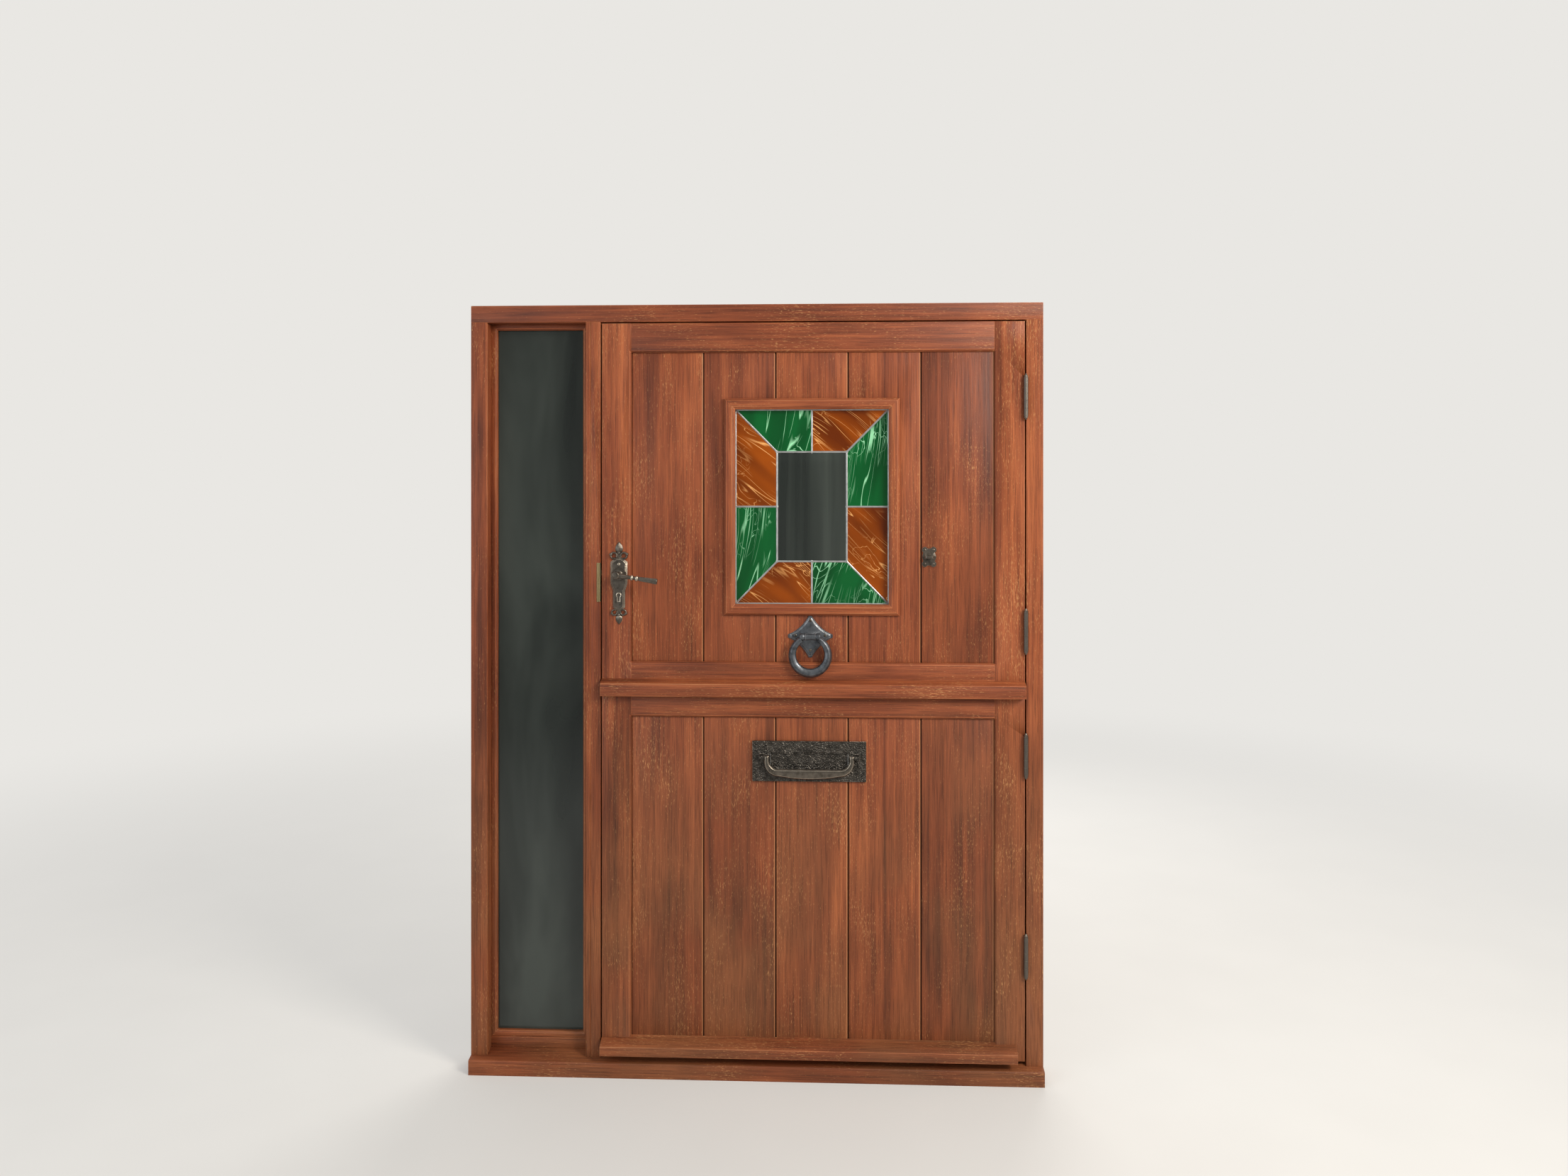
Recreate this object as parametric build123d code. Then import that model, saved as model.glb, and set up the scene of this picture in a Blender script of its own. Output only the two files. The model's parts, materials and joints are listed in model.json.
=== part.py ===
from build123d import *
import math
import os

# Dutch (stable) front door: two leaves, one above the other, in a hardwood frame with a glazed
# sidelight. Millimetres. X runs to the right as seen from outside, Y into the building, Z up.
# The origin is under the sill, at the middle of the frame's width and on the frame's outer face.

# Frame
SIDELIGHT_W = 271.0
JAMB_W = 45.0
MULLION_W = 40.0
MULLION_QUIRK_IN = 11.5
MULLION_QUIRK_W = 2.0
MULLION_QUIRK_D = 2.0
HEAD_H = 46.0
FRAME_DEPTH = 95.0
STOP_W = 14.0
STOP_GAP = 2.0
SILL_FRONT_H = 40.0
SILL_NOSE = 25.0
SILL_SLOPE = 0.13
SILL_NOSE_R = 5.0
SILL_UPSTAND_H = 20.0
DRIP_GROOVE_W = 5.0
DRIP_GROOVE_D = 4.0
DRIP_GROOVE_IN = 8.0

# Leaves
LEAF_W = 1140.0
LEAF_T = 54.0
UPPER_LEAF_H = 1008.5
LOWER_LEAF_H = 968.5
EDGE_GAP = 4.0
MEET_GAP = 4.0
THRESHOLD_GAP = 6.0
STILE_W = 80.0
UPPER_TOP_RAIL_H = 80.0
UPPER_BOTTOM_RAIL_H = 91.0
LOWER_TOP_RAIL_H = 55.0
LEDGE_H = 180.0
OPENING_CHAMFER = 5.0
TENON_L = 50.0
TENON_T = 14.0
TENON_SHOULDER = 14.0
MORTISE_CLEAR = 0.2
MORTISE_END_CLEAR = 2.0

# Boards
BOARD_COUNT = 5
BOARD_SET = 9.0
BOARD_T = 20.0
BOARD_V = 4.0
BOARD_BACK_V = 2.0
GROOVE_SET = 14.0
GROOVE_W = 10.0
GROOVE_D = 12.0
EDGE_TONGUE_L = 10.0
BOARD_TONGUE_T = 6.0
BOARD_TONGUE_L = 8.0
TONGUE_CLEAR = 0.2
TONGUE_END_CLEAR = 1.0

# Drip bar and weatherboard
DRIP_BAR_LIFT = 1.0
DRIP_BAR_FRONT_H = 34.5
DRIP_BAR_RISE = 10.0
DRIP_BAR_OUT = 28.0
WEATHER_LIFT = 7.0
WEATHER_FRONT_H = 25.0
WEATHER_RISE = 13.0
WEATHER_OUT = 35.0
WEATHER_SHORT = 23.0

# Sidelight glazing
LIGHT_RAIL_TOP = 78.0
LIGHT_BEAD_W = 16.0
LIGHT_BEAD_SET = 38.0
LIGHT_BEAD_CHAMFER = 4.0
PANE_T = 4.0
SPACER_T = 12.0
SPACER_W = 8.0
SPACER_IN = 5.0
PANE_EDGE_CLEAR = 3.0

# Window of the upper leaf
WINDOW_SIGHT_W = 415.0
WINDOW_SIGHT_H = 527.0
MOULD_W = 29.5
MOULD_OUT = 13.0
MOULD_CHAMFER = 6.0
MOULD_BEVEL_W = 8.0
MOULD_BEVEL_DROP = 5.0
MOULD_LIP = 6.0
LINING_T = 12.0
LIGHT_SET = 18.0
LIGHT_T = 6.0
LIGHT_EDGE_CLEAR = 3.0
INNER_BEAD_W = 6.0
INNER_BEAD_CHAMFER = 3.0
CAME_FACE = 6.0
CAME_HEART = 2.0
BORDER_CAME_W = 6.0
GLASS_T = 3.0
GLASS_CLEAR = 0.1
CENTRE_PANE_W = 183.0
CENTRE_PANE_H = 291.0

# Hinges
LOWER_HINGE_UP = 282.9
LOWER_HINGE_DOWN = 150.0
UPPER_HINGE_UP = 178.4
UPPER_HINGE_DOWN = 202.7
HINGE_H = 102.0
HINGE_OUT = 7.0
KNUCKLE_R = 6.25
KNUCKLE_COUNT = 5
KNUCKLE_GAP = 0.4
HINGE_PIN_R = 2.95
HINGE_BORE_R = 3.0
HINGE_PLATE_T = 2.5
HINGE_PLATE_W = 32.0
HINGE_LET_IN = 1.0
HINGE_TONGUE = 2.7
HINGE_BACK = 0.3
HINGE_FIT = 0.1
FINIAL_R = 5.4
FINIAL_H = 6.0
FINIAL_TIP_R = 3.2
FINIAL_TIP_H = 4.0

# Mortice lock
BACKSET = 47.0
LEVER_UP = 328.0
KEYHOLE_DROP = 57.0
LOCK_T = 16.0
LOCK_W = 60.0
LOCK_ABOVE = 28.0
LOCK_BELOW = 112.0
LOCK_FIT = 0.2
FOREND_W = 22.0
FOREND_T = 3.0
FOREND_H = 190.0
LATCH_W = 12.0
LATCH_H = 14.0
LATCH_THROW = 11.0
LATCH_TAIL = 24.0
LATCH_BEVEL = 9.0
BOLT_W = 9.0
BOLT_H = 26.0
BOLT_TAIL = 32.0
BOLT_THROW = 18.0
BOLT_OUT = 0.5
BOLT_FIT = 0.25
POCKET_FIT = 1.5
POCKET_D = 16.0
STRIKE_H = 106.0
STRIKE_W = 40.0
STRIKE_T = 1.6
STRIKE_LIP = 10.0

# Lever furniture
SPINDLE_S = 8.0
SPINDLE_HOLE_R = 9.0
NECK_R = 8.0
NECK_FIT = 0.08
PLATE_BASE_T = 3.0
PLATE_STEP_T = 1.6
PLATE_STEP_W = 2.4
PLATE_ABOVE = 45.0
PLATE_TOP_HW = 6.5
PLATE_TOP_SLOPE = 12.0
PLATE_UPPER_HW = 23.0
PLATE_UPPER_DROP = 26.0
PLATE_TAPER = 19.0
PLATE_LOWER_HW = 16.5
PLATE_BELOW = 99.0
PLATE_FOOT_HW = 6.0
PLATE_FOOT_SLOPE = 9.0
FLEUR_NECK_W = 9.0
FLEUR_PETAL_UP = 13.0
FLEUR_PETAL_L = 30.0
FLEUR_PETAL_HW = 8.0
FLEUR_PETAL_T = 4.5
FLEUR_BALL_R = 4.6
FLEUR_SIDES = 10
FLEUR_CURL_X = 13.0
FLEUR_CURL_Y = 6.0
FLEUR_CURL_R = 10.6
FLEUR_CURL_EYE_R = 4.6
FLEUR_CURL_T = 3.6
FLEUR_BUD_X = 21.0
FLEUR_BUD_Y = 9.0
FLEUR_BUD_R = 4.4
FLEUR_EDGE = 1.2
FLEUR_FOOT_SHARE = 0.88
ROSE_R = 19.0
ROSE_T = 2.0
ROSE_RIM = 3.0
COLLAR_R = 10.5
COLLAR_GAP = 0.3
LEVER_L = 112.0
LEVER_OUT = 55.0
LEVER_DROOP = 8.5
LEVER_HUB_R = 10.5
LEVER_ROOT = 13.0
LEVER_WAIST = 8.5
LEVER_WAIST_AT = 50.0
LEVER_BALL_R = 7.6
LEVER_COLLAR_R = 6.6
LEVER_COLLAR_T = 3.0
LEVER_GRIP_AT = 72.0
LEVER_GRIP = 11.0
LEVER_TIP = 15.0
LEVER_FLATTEN = 0.82
LEVER_EDGE = 1.0
LEVER_CAP_R = 7.5
LEVER_CAP_T = 1.5
COLLAR_T = 4.0
KEYHOLE_R = 4.9
KEYHOLE_SLOT_W = 5.3
KEYHOLE_SLOT_DROP = 15.5
KEYHOLE_RIM = 2.6

# Knocker
KNOCKER_X = -4.0
KNOCKER_GAP = 1.3
KNOCKER_HALF_W = 60.5
KNOCKER_ABOVE = 54.7
KNOCKER_BELOW = 58.0
KNOCKER_TIP = 4.0
KNOCKER_SAG = 7.0
KNOCKER_BASE_T = 3.0
KNOCKER_STEP_T = 2.5
KNOCKER_STEP_W = 5.0
KNOCKER_KNUCKLE_W = 29.5
KNOCKER_KNUCKLE_R = 9.0
KNUCKLE_FLANGE_R = 10.3
KNUCKLE_FLANGE_W = 3.0
KNOCKER_PIN_R = 3.5
KNOCKER_PIN_FIT = 0.08
KNOCKER_SIDE_GAP = 0.4
KNOCKER_BOSS_R = 9.5
KNOCKER_BOSS_W = 13.0
RING_OUT_R = 58.5
RING_DROP = 51.0
RING_SECTION_R = 12.5
RING_END_R = 8.5
RING_END_ANGLE = 152.0
RING_SECTIONS = 19
RING_SIDES = 10
RING_REST_GAP = 0.5
RING_ABOVE_DRIP = 7.0

# Letter plate
LETTER_X = -7.0
LETTER_W = 307.0
LETTER_H = 108.4
LETTER_DOWN = 63.0
LETTER_T = 6.0
FLAP_W = 209.0
FLAP_H = 46.2
FLAP_DOWN = 30.0
FLAP_T = 3.5
FLAP_SET = 1.8
FLAP_GAP = 0.4
FLAP_PIVOT_R = 1.8
FLAP_PIVOT_L = 6.0
FLAP_PIVOT_FIT = 0.06
FLAP_BARREL_R = 2.5
LETTER_LIP = 7.0
LETTER_LIP_D = 3.0
SLOT_CLEAR = 3.5
BOW_DOWN = 42.4
BOW_HALF_W = 121.5
BOW_ARM_W = 13.0
BOW_BAR_H = 26.4
BOW_CROWN = 7.5
BOW_H = 58.0
BOW_CORNER_R = 38.0
BOW_T = 11.0
BOW_EYE_TOP = 5.0
BOW_CHAMFER = 3.2
BOW_PIN_OUT = 8.5
BOW_PIN_R = 3.0
BOW_PIN_FIT = 0.06
BOW_BOSS_W = 13.0
BOW_BOSS_R = 7.5
BOW_BOSS_GAP = 0.4

# Hook eye
EYE_X = 315.7
EYE_UP = 376.3
EYE_PLATE_W = 39.0
EYE_PLATE_H = 54.0
EYE_LOBE_R = 8.0
EYE_CORE_W = 24.0
EYE_CORE_H = 45.0
EYE_DISC_R = 18.5
EYE_PLATE_T = 3.0
EYE_OUT = 18.0
EYE_SPAN = 20.4
EYE_BAR = 6.0
EYE_BEND_R = 8.0

# Bolts on the inside
ROD_R = 6.0
ROD_FIT = 0.15
ROD_STAND = 1.6
GUIDE_T = 3.0
GUIDE_W = 38.0
HOOP_T = 10.0
HOOP_WALL = 4.0
KNOB_R = 6.0
KNOB_CLEAR = 1.5
KNOB_L = 16.0
COUPLING_IN = 170.0
COUPLING_EDGE = 4.0
COUPLING_GUIDE_H = 80.0
COUPLING_ROD_L = 84.0
COUPLING_THROW = 34.0
KEEP_H = 42.0
LOWER_BOLT_UP = 503.5
LOWER_GUIDE_L = 55.0
LOWER_GUIDE_GAP = 3.0
LOWER_ROD_L = 84.0
LOWER_BOLT_THROW = 24.0
LOWER_BOLT_IN = 19.0
ROD_HOLE_CLEAR = 0.8
ROD_HOLE_SPARE = 4.0

# Fixings through the jambs
FIXING_COUNT = 4
FIXING_FIRST = 160.0
FIXING_PITCH = 580.0
FIXING_R = 5.0
FIXING_Y = 44.0

# Flats round small turned pieces and round the rose
ROUND_SIDES = 12
ROSE_SIDES = 28

# Levels and lines that follow from the sizes above
FRAME_W = 2 * JAMB_W + SIDELIGHT_W + MULLION_W + LEAF_W + 2 * EDGE_GAP
X_LEFT = -FRAME_W / 2
X_RIGHT = FRAME_W / 2
X_LIGHT0 = X_LEFT + JAMB_W
X_LIGHT1 = X_LIGHT0 + SIDELIGHT_W
X_DOOR0 = X_LIGHT1 + MULLION_W
X_LEAF0 = X_DOOR0 + EDGE_GAP
X_LEAF1 = X_LEAF0 + LEAF_W
X_DOOR1 = X_LEAF1 + EDGE_GAP
X_PANEL0 = X_LEAF0 + STILE_W
X_PANEL1 = X_LEAF1 - STILE_W
LEAF_CX = (X_LEAF0 + X_LEAF1) / 2
STOP_Y = LEAF_T + STOP_GAP


def sill_top(y):
    """Height of the sill's sloping top at a depth y."""
    return SILL_FRONT_H + (y + SILL_NOSE) * SILL_SLOPE


Z_SILL_STOP = sill_top(STOP_Y) + SILL_UPSTAND_H
Z_LOWER0 = sill_top(STOP_Y) + THRESHOLD_GAP
Z_LOWER1 = Z_LOWER0 + LOWER_LEAF_H
Z_UPPER0 = Z_LOWER1 + MEET_GAP
Z_UPPER1 = Z_UPPER0 + UPPER_LEAF_H
Z_HEAD0 = Z_UPPER1 + EDGE_GAP
Z_HEAD1 = Z_HEAD0 + HEAD_H
Z_UPPER_PANEL0 = Z_UPPER0 + UPPER_BOTTOM_RAIL_H
Z_UPPER_PANEL1 = Z_UPPER1 - UPPER_TOP_RAIL_H
Z_LOWER_PANEL1 = Z_LOWER1 - LOWER_TOP_RAIL_H
BOARD_BACK = BOARD_SET + BOARD_T
BOARD_PITCH = (X_PANEL1 - X_PANEL0) / BOARD_COUNT
LIGHT_GLASS_Y = STOP_Y - 1.0
LIGHT_STOP_Y = LIGHT_GLASS_Y + 2 * PANE_T + SPACER_T
HINGE_X = (X_LEAF1 + X_DOOR1) / 2
HINGE_HEIGHTS = (Z_LOWER0 + LOWER_HINGE_UP, Z_LOWER1 - LOWER_HINGE_DOWN,
                 Z_UPPER0 + UPPER_HINGE_UP, Z_UPPER1 - UPPER_HINGE_DOWN)
LEVER_X = X_LEAF0 + BACKSET
LEVER_Z = Z_UPPER0 + LEVER_UP
LOCK_Y = LEAF_T / 2
LOCK_Z0 = LEVER_Z - LOCK_BELOW
LOCK_Z1 = LEVER_Z + LOCK_ABOVE
LATCH_Z = LEVER_Z + 2.0
BOLT_Z = LEVER_Z - KEYHOLE_DROP + 10.0
Z_DRIP_BAR1 = Z_UPPER0 + DRIP_BAR_LIFT + DRIP_BAR_FRONT_H + DRIP_BAR_RISE
KNOCKER_Z = Z_DRIP_BAR1 + RING_ABOVE_DRIP + RING_OUT_R + RING_DROP
WINDOW_Z = KNOCKER_Z + KNOCKER_ABOVE + KNOCKER_GAP + MOULD_W + WINDOW_SIGHT_H / 2
LETTER_TOP = Z_LOWER_PANEL1 - LETTER_DOWN
FLAP_TOP = LETTER_TOP - FLAP_DOWN
BOW_Z = LETTER_TOP - BOW_DOWN
BOW_BOTTOM = BOW_Z - BOW_H
EYE_Z = Z_UPPER0 + EYE_UP
LOWER_BOLT_Z = Z_LOWER0 + LOWER_BOLT_UP


# Small helpers: a box by its limits, and outlines run along one axis
def box(x0, x1, y0, y1, z0, z1):
    """Box between two corners."""
    middle = Pos((x0 + x1) / 2, (y0 + y1) / 2, (z0 + z1) / 2)
    return middle * Box(x1 - x0, y1 - y0, z1 - z0)


def along_x(points, x0, x1):
    """Outline of (y, z) points run from x0 to x1."""
    outline = make_face(Polyline([(x0, y, z) for y, z in points], close=True))
    return extrude(outline, x1 - x0, dir=(1, 0, 0))


def along_y(points, y0, y1):
    """Outline of (x, z) points run from y0 to y1."""
    outline = make_face(Polyline([(x, y0, z) for x, z in points], close=True))
    return extrude(outline, y1 - y0, dir=(0, 1, 0))


def along_z(points, z0, z1):
    """Outline of (x, y) points run from z0 to z1."""
    outline = make_face(Polyline([(x, y, z0) for x, y in points], close=True))
    return extrude(outline, z1 - z0, dir=(0, 0, 1))


def run(axis, outline, start, length):
    """Outline run from a start point along X, Y or Z."""
    turn = {"X": Rot(0, 90, 0), "Y": Rot(-90, 0, 0), "Z": Rot(0, 0, 0)}[axis]
    return Pos(*start) * turn * extrude(outline, length, dir=(0, 0, 1))


def rod(axis, radius, start, length):
    """Turned bar, made with flats that lie inside its radius."""
    return run(axis, RegularPolygon(radius, ROUND_SIDES), start, length)


def bore(axis, radius, start, length):
    """Hole for a turned bar, made with flats that lie outside its radius."""
    return run(axis, RegularPolygon(radius, ROUND_SIDES, major_radius=False), start, length)


def facing_out(part, x, y, z):
    """Stands a piece that was drawn flat, face up, against an upright face at y."""
    return Pos(x, y, z) * Rot(90, 0, 0) * part


def inside_twin(part):
    """The same piece on the inner face of a leaf."""
    return mirror(part, about=Plane.XZ.offset(-LEAF_T / 2))


def group(pieces):
    """Separate solids of one sub-part."""
    return Compound(children=[solid for piece in pieces for solid in piece.solids()])


def mitred_frame(x0, x1, z0, z1, profile):
    """Four mitred bars round a rectangle; the profile is (inward, y) from the outer edge."""
    wide = max(inward for inward, _ in profile)
    y0 = min(y for _, y in profile)
    y1 = max(y for _, y in profile)
    upright = along_z([(x0 + inward, y) for inward, y in profile], z0, z1)
    upright &= along_y([(x0, z0), (x0 + wide, z0 + wide), (x0 + wide, z1 - wide), (x0, z1)], y0, y1)
    level = along_x([(y, z0 + inward) for inward, y in profile], x0, x1)
    level &= along_y([(x0, z0), (x1, z0), (x1 - wide, z0 + wide), (x0 + wide, z0 + wide)], y0, y1)
    return group([
        upright,
        mirror(upright, about=Plane.YZ.offset((x0 + x1) / 2)),
        level,
        mirror(level, about=Plane.XY.offset((z0 + z1) / 2)),
    ])


# Frame
def frame_sill():
    """Sloping sill under both bays, with a drip groove and the stop of the door bay."""
    groove0 = -SILL_NOSE + DRIP_GROOVE_IN
    groove1 = groove0 + DRIP_GROOVE_W
    sill = along_x([
        (-SILL_NOSE, 0), (groove0, 0), (groove0, DRIP_GROOVE_D), (groove1, DRIP_GROOVE_D), (groove1, 0),
        (FRAME_DEPTH, 0), (FRAME_DEPTH, sill_top(FRAME_DEPTH)), (-SILL_NOSE, SILL_FRONT_H),
    ], X_LEFT, X_RIGHT)
    sill = fillet(sill.edges().filter_by(Axis.X).group_by(Axis.Y)[0].sort_by(Axis.Z)[-1], SILL_NOSE_R)
    sill += along_x([
        (STOP_Y, SILL_FRONT_H), (FRAME_DEPTH, SILL_FRONT_H),
        (FRAME_DEPTH, Z_SILL_STOP), (STOP_Y, Z_SILL_STOP),
    ], X_DOOR0 + STOP_W, X_DOOR1 - STOP_W)
    return sill


def frame_head():
    """Head with the stop of the door bay and the glazing upstand of the sidelight."""
    head = box(X_LEFT, X_RIGHT, 0, FRAME_DEPTH, Z_HEAD0, Z_HEAD1)
    head += box(X_DOOR0 + STOP_W, X_DOOR1 - STOP_W, STOP_Y, FRAME_DEPTH, Z_HEAD0 - STOP_W, Z_HEAD0)
    head += box(X_LIGHT0 + LIGHT_BEAD_W, X_LIGHT1 - LIGHT_BEAD_W, LIGHT_STOP_Y, FRAME_DEPTH,
                Z_HEAD0 - LIGHT_BEAD_W, Z_HEAD0)
    return head


def fixing_holes(x0, x1):
    """Fixing holes through a jamb."""
    return [run("X", Circle(FIXING_R), (x0, FIXING_Y, FIXING_FIRST + i * FIXING_PITCH), x1 - x0)
            for i in range(FIXING_COUNT)]


def frame_jamb_left(sill):
    """Left jamb, its foot scribed to the sill, with the glazing upstand."""
    jamb = box(X_LEFT, X_LIGHT0, 0, FRAME_DEPTH, 0, Z_HEAD0)
    jamb += box(X_LIGHT0, X_LIGHT0 + LIGHT_BEAD_W, LIGHT_STOP_Y, FRAME_DEPTH,
                LIGHT_RAIL_TOP + LIGHT_BEAD_W, Z_HEAD0)
    jamb -= fixing_holes(X_LEFT, X_LIGHT0)
    return jamb - sill


def frame_jamb_right(sill):
    """Right jamb with the stop, the hinge recesses and the fixing holes."""
    jamb = box(X_DOOR1, X_RIGHT, 0, FRAME_DEPTH, 0, Z_HEAD0)
    jamb += box(X_DOOR1 - STOP_W, X_DOOR1, STOP_Y, FRAME_DEPTH, 0, Z_HEAD0)
    jamb -= fixing_holes(X_DOOR1 - STOP_W, X_RIGHT)
    jamb -= [hinge_recess(z, X_DOOR1, X_DOOR1 + HINGE_LET_IN) for z in HINGE_HEIGHTS]
    return jamb - sill


def frame_mullion(sill):
    """Mullion with a quirk down its face, the stop, the upstand, the strike's recess and the bolt holes."""
    mullion = box(X_LIGHT1, X_DOOR0, 0, FRAME_DEPTH, 0, Z_HEAD0)
    mullion += box(X_DOOR0, X_DOOR0 + STOP_W, STOP_Y, FRAME_DEPTH, 0, Z_HEAD0)
    mullion += box(X_LIGHT1 - LIGHT_BEAD_W, X_LIGHT1, LIGHT_STOP_Y, FRAME_DEPTH,
                   LIGHT_RAIL_TOP + LIGHT_BEAD_W, Z_HEAD0)
    quirk_x = X_LIGHT1 + MULLION_QUIRK_IN
    mullion -= box(quirk_x, quirk_x + MULLION_QUIRK_W, 0, MULLION_QUIRK_D, 0, Z_HEAD0)
    strike_z = (LATCH_Z + BOLT_Z) / 2
    mullion -= box(X_DOOR0 - STRIKE_T, X_DOOR0, 0, STRIKE_W, strike_z - STRIKE_H / 2, strike_z + STRIKE_H / 2)
    mullion -= lock_pockets(X_DOOR0 - POCKET_D, X_DOOR0)
    hole_x = X_LEAF0 + LOWER_BOLT_IN - LOWER_BOLT_THROW - ROD_HOLE_SPARE
    mullion -= bore("X", ROD_R + ROD_HOLE_CLEAR, (hole_x, inside_rod_y(), LOWER_BOLT_Z),
                   X_DOOR0 + STOP_W - hole_x)
    return mullion - sill


def lock_pockets(x0, x1):
    """Openings for the latch and the dead bolt."""
    latch = box(x0, x1, LOCK_Y - LATCH_W / 2 - POCKET_FIT, LOCK_Y + LATCH_W / 2 + POCKET_FIT,
                LATCH_Z - LATCH_H / 2 - POCKET_FIT, LATCH_Z + LATCH_H / 2 + POCKET_FIT)
    bolt = box(x0, x1, LOCK_Y - BOLT_W / 2 - POCKET_FIT, LOCK_Y + BOLT_W / 2 + POCKET_FIT,
               BOLT_Z - BOLT_H / 2 - POCKET_FIT, BOLT_Z + BOLT_H / 2 + POCKET_FIT)
    return [latch, bolt]


def strike_plate():
    """Brass strike let into the mullion's edge, with a lip on its face."""
    z = (LATCH_Z + BOLT_Z) / 2
    strike = box(X_DOOR0 - STRIKE_T, X_DOOR0, 0, STRIKE_W, z - STRIKE_H / 2, z + STRIKE_H / 2)
    strike += box(X_DOOR0 - STRIKE_LIP, X_DOOR0, -STRIKE_T, 0, z - STRIKE_H / 2, z + STRIKE_H / 2)
    return strike - lock_pockets(X_DOOR0 - STRIKE_T, X_DOOR0)


# Sidelight
def sidelight_bottom_rail():
    """Rail on the sill's slope that carries the unit and its back upstand."""
    upstand = LIGHT_RAIL_TOP + LIGHT_BEAD_W
    return along_x([
        (LIGHT_BEAD_SET, sill_top(LIGHT_BEAD_SET)), (FRAME_DEPTH, sill_top(FRAME_DEPTH)),
        (FRAME_DEPTH, upstand), (LIGHT_STOP_Y, upstand), (LIGHT_STOP_Y, LIGHT_RAIL_TOP),
        (LIGHT_BEAD_SET, LIGHT_RAIL_TOP),
    ], X_LIGHT0, X_LIGHT1)


def sidelight_beads():
    """Four mitred glazing beads."""
    return mitred_frame(X_LIGHT0, X_LIGHT1, LIGHT_RAIL_TOP, Z_HEAD0, [
        (0, LIGHT_BEAD_SET), (LIGHT_BEAD_W - LIGHT_BEAD_CHAMFER, LIGHT_BEAD_SET),
        (LIGHT_BEAD_W, LIGHT_BEAD_SET + LIGHT_BEAD_CHAMFER), (LIGHT_BEAD_W, LIGHT_GLASS_Y),
        (0, LIGHT_GLASS_Y),
    ])


def sidelight_slab(y0, y1, inset):
    """Flat piece of the sealed unit, inset from its edge."""
    edge = PANE_EDGE_CLEAR + inset
    return box(X_LIGHT0 + edge, X_LIGHT1 - edge, y0, y1, LIGHT_RAIL_TOP + edge, Z_HEAD0 - edge)


def sidelight_panes():
    """Outer and inner pane."""
    return group([
        sidelight_slab(LIGHT_GLASS_Y, LIGHT_GLASS_Y + PANE_T, 0),
        sidelight_slab(LIGHT_STOP_Y - PANE_T, LIGHT_STOP_Y, 0),
    ])


def sidelight_spacer():
    """Spacer bar between the panes."""
    y0 = LIGHT_GLASS_Y + PANE_T
    y1 = y0 + SPACER_T
    return sidelight_slab(y0, y1, SPACER_IN) - sidelight_slab(y0, y1, SPACER_IN + SPACER_W)


# Leaf framing
def opening_flare(z0, z1):
    """Cutter for the chamfer round the boards' opening."""
    back = Rectangle(X_PANEL1 - X_PANEL0, z1 - z0)
    front = Rectangle(X_PANEL1 - X_PANEL0 + 2 * OPENING_CHAMFER, z1 - z0 + 2 * OPENING_CHAMFER)
    middle = Pos(LEAF_CX, 0, (z0 + z1) / 2) * Rot(90, 0, 0)
    return loft([middle * Pos(0, 0, -OPENING_CHAMFER) * back, middle * front])


def stile_tenons(x_edge, into, rails, clear, end_clear):
    """Tenons of the rails at one stile; with clearances, their mortises."""
    pieces = []
    for z0, z1, y in rails:
        ends = sorted((x_edge, x_edge + into * (TENON_L + end_clear)))
        pieces.append(box(ends[0], ends[1], y - TENON_T / 2 - clear, y + TENON_T / 2 + clear,
                          z0 + TENON_SHOULDER - clear, z1 - TENON_SHOULDER + clear))
    return pieces


RAIL_TENON_Y = (GROOVE_SET + GROOVE_W + LEAF_T) / 2 - 5.0
LEDGE_TENON_Y = (BOARD_BACK + LEAF_T) / 2
UPPER_RAILS = [
    (Z_UPPER0, Z_UPPER_PANEL0, RAIL_TENON_Y),
    (Z_UPPER_PANEL1, Z_UPPER1, RAIL_TENON_Y),
]
LOWER_RAILS = [
    (Z_LOWER_PANEL1, Z_LOWER1, RAIL_TENON_Y),
    (Z_LOWER0, Z_LOWER0 + LEDGE_H, LEDGE_TENON_Y),
]


def stile(lock_side, z0, z1, groove_z0, groove_z1, rails, flare):
    """Stile of a leaf with its board groove, mortises and chamfered arris."""
    if lock_side:
        body = box(X_LEAF0, X_PANEL0, 0, LEAF_T, z0, z1)
        groove_x = (X_PANEL0 - GROOVE_D, X_PANEL0)
        edge, into = X_PANEL0, -1
    else:
        body = box(X_PANEL1, X_LEAF1, 0, LEAF_T, z0, z1)
        groove_x = (X_PANEL1, X_PANEL1 + GROOVE_D)
        edge, into = X_PANEL1, 1
    body -= box(groove_x[0], groove_x[1], GROOVE_SET, GROOVE_SET + GROOVE_W, groove_z0, groove_z1)
    body -= stile_tenons(edge, into, rails, MORTISE_CLEAR, MORTISE_END_CLEAR)
    return body - flare


def rail(z0, z1, y0, y, groove_z, flare):
    """Rail between the stiles with a tenon at each end and a groove for the boards' ends."""
    body = box(X_PANEL0, X_PANEL1, y0, LEAF_T, z0, z1)
    if groove_z is not None:
        body -= box(X_PANEL0, X_PANEL1, GROOVE_SET, GROOVE_SET + GROOVE_W, groove_z[0], groove_z[1])
        body -= flare
    body += stile_tenons(X_PANEL0, -1, [(z0, z1, y)], 0, 0)
    body += stile_tenons(X_PANEL1, 1, [(z0, z1, y)], 0, 0)
    return body


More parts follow.
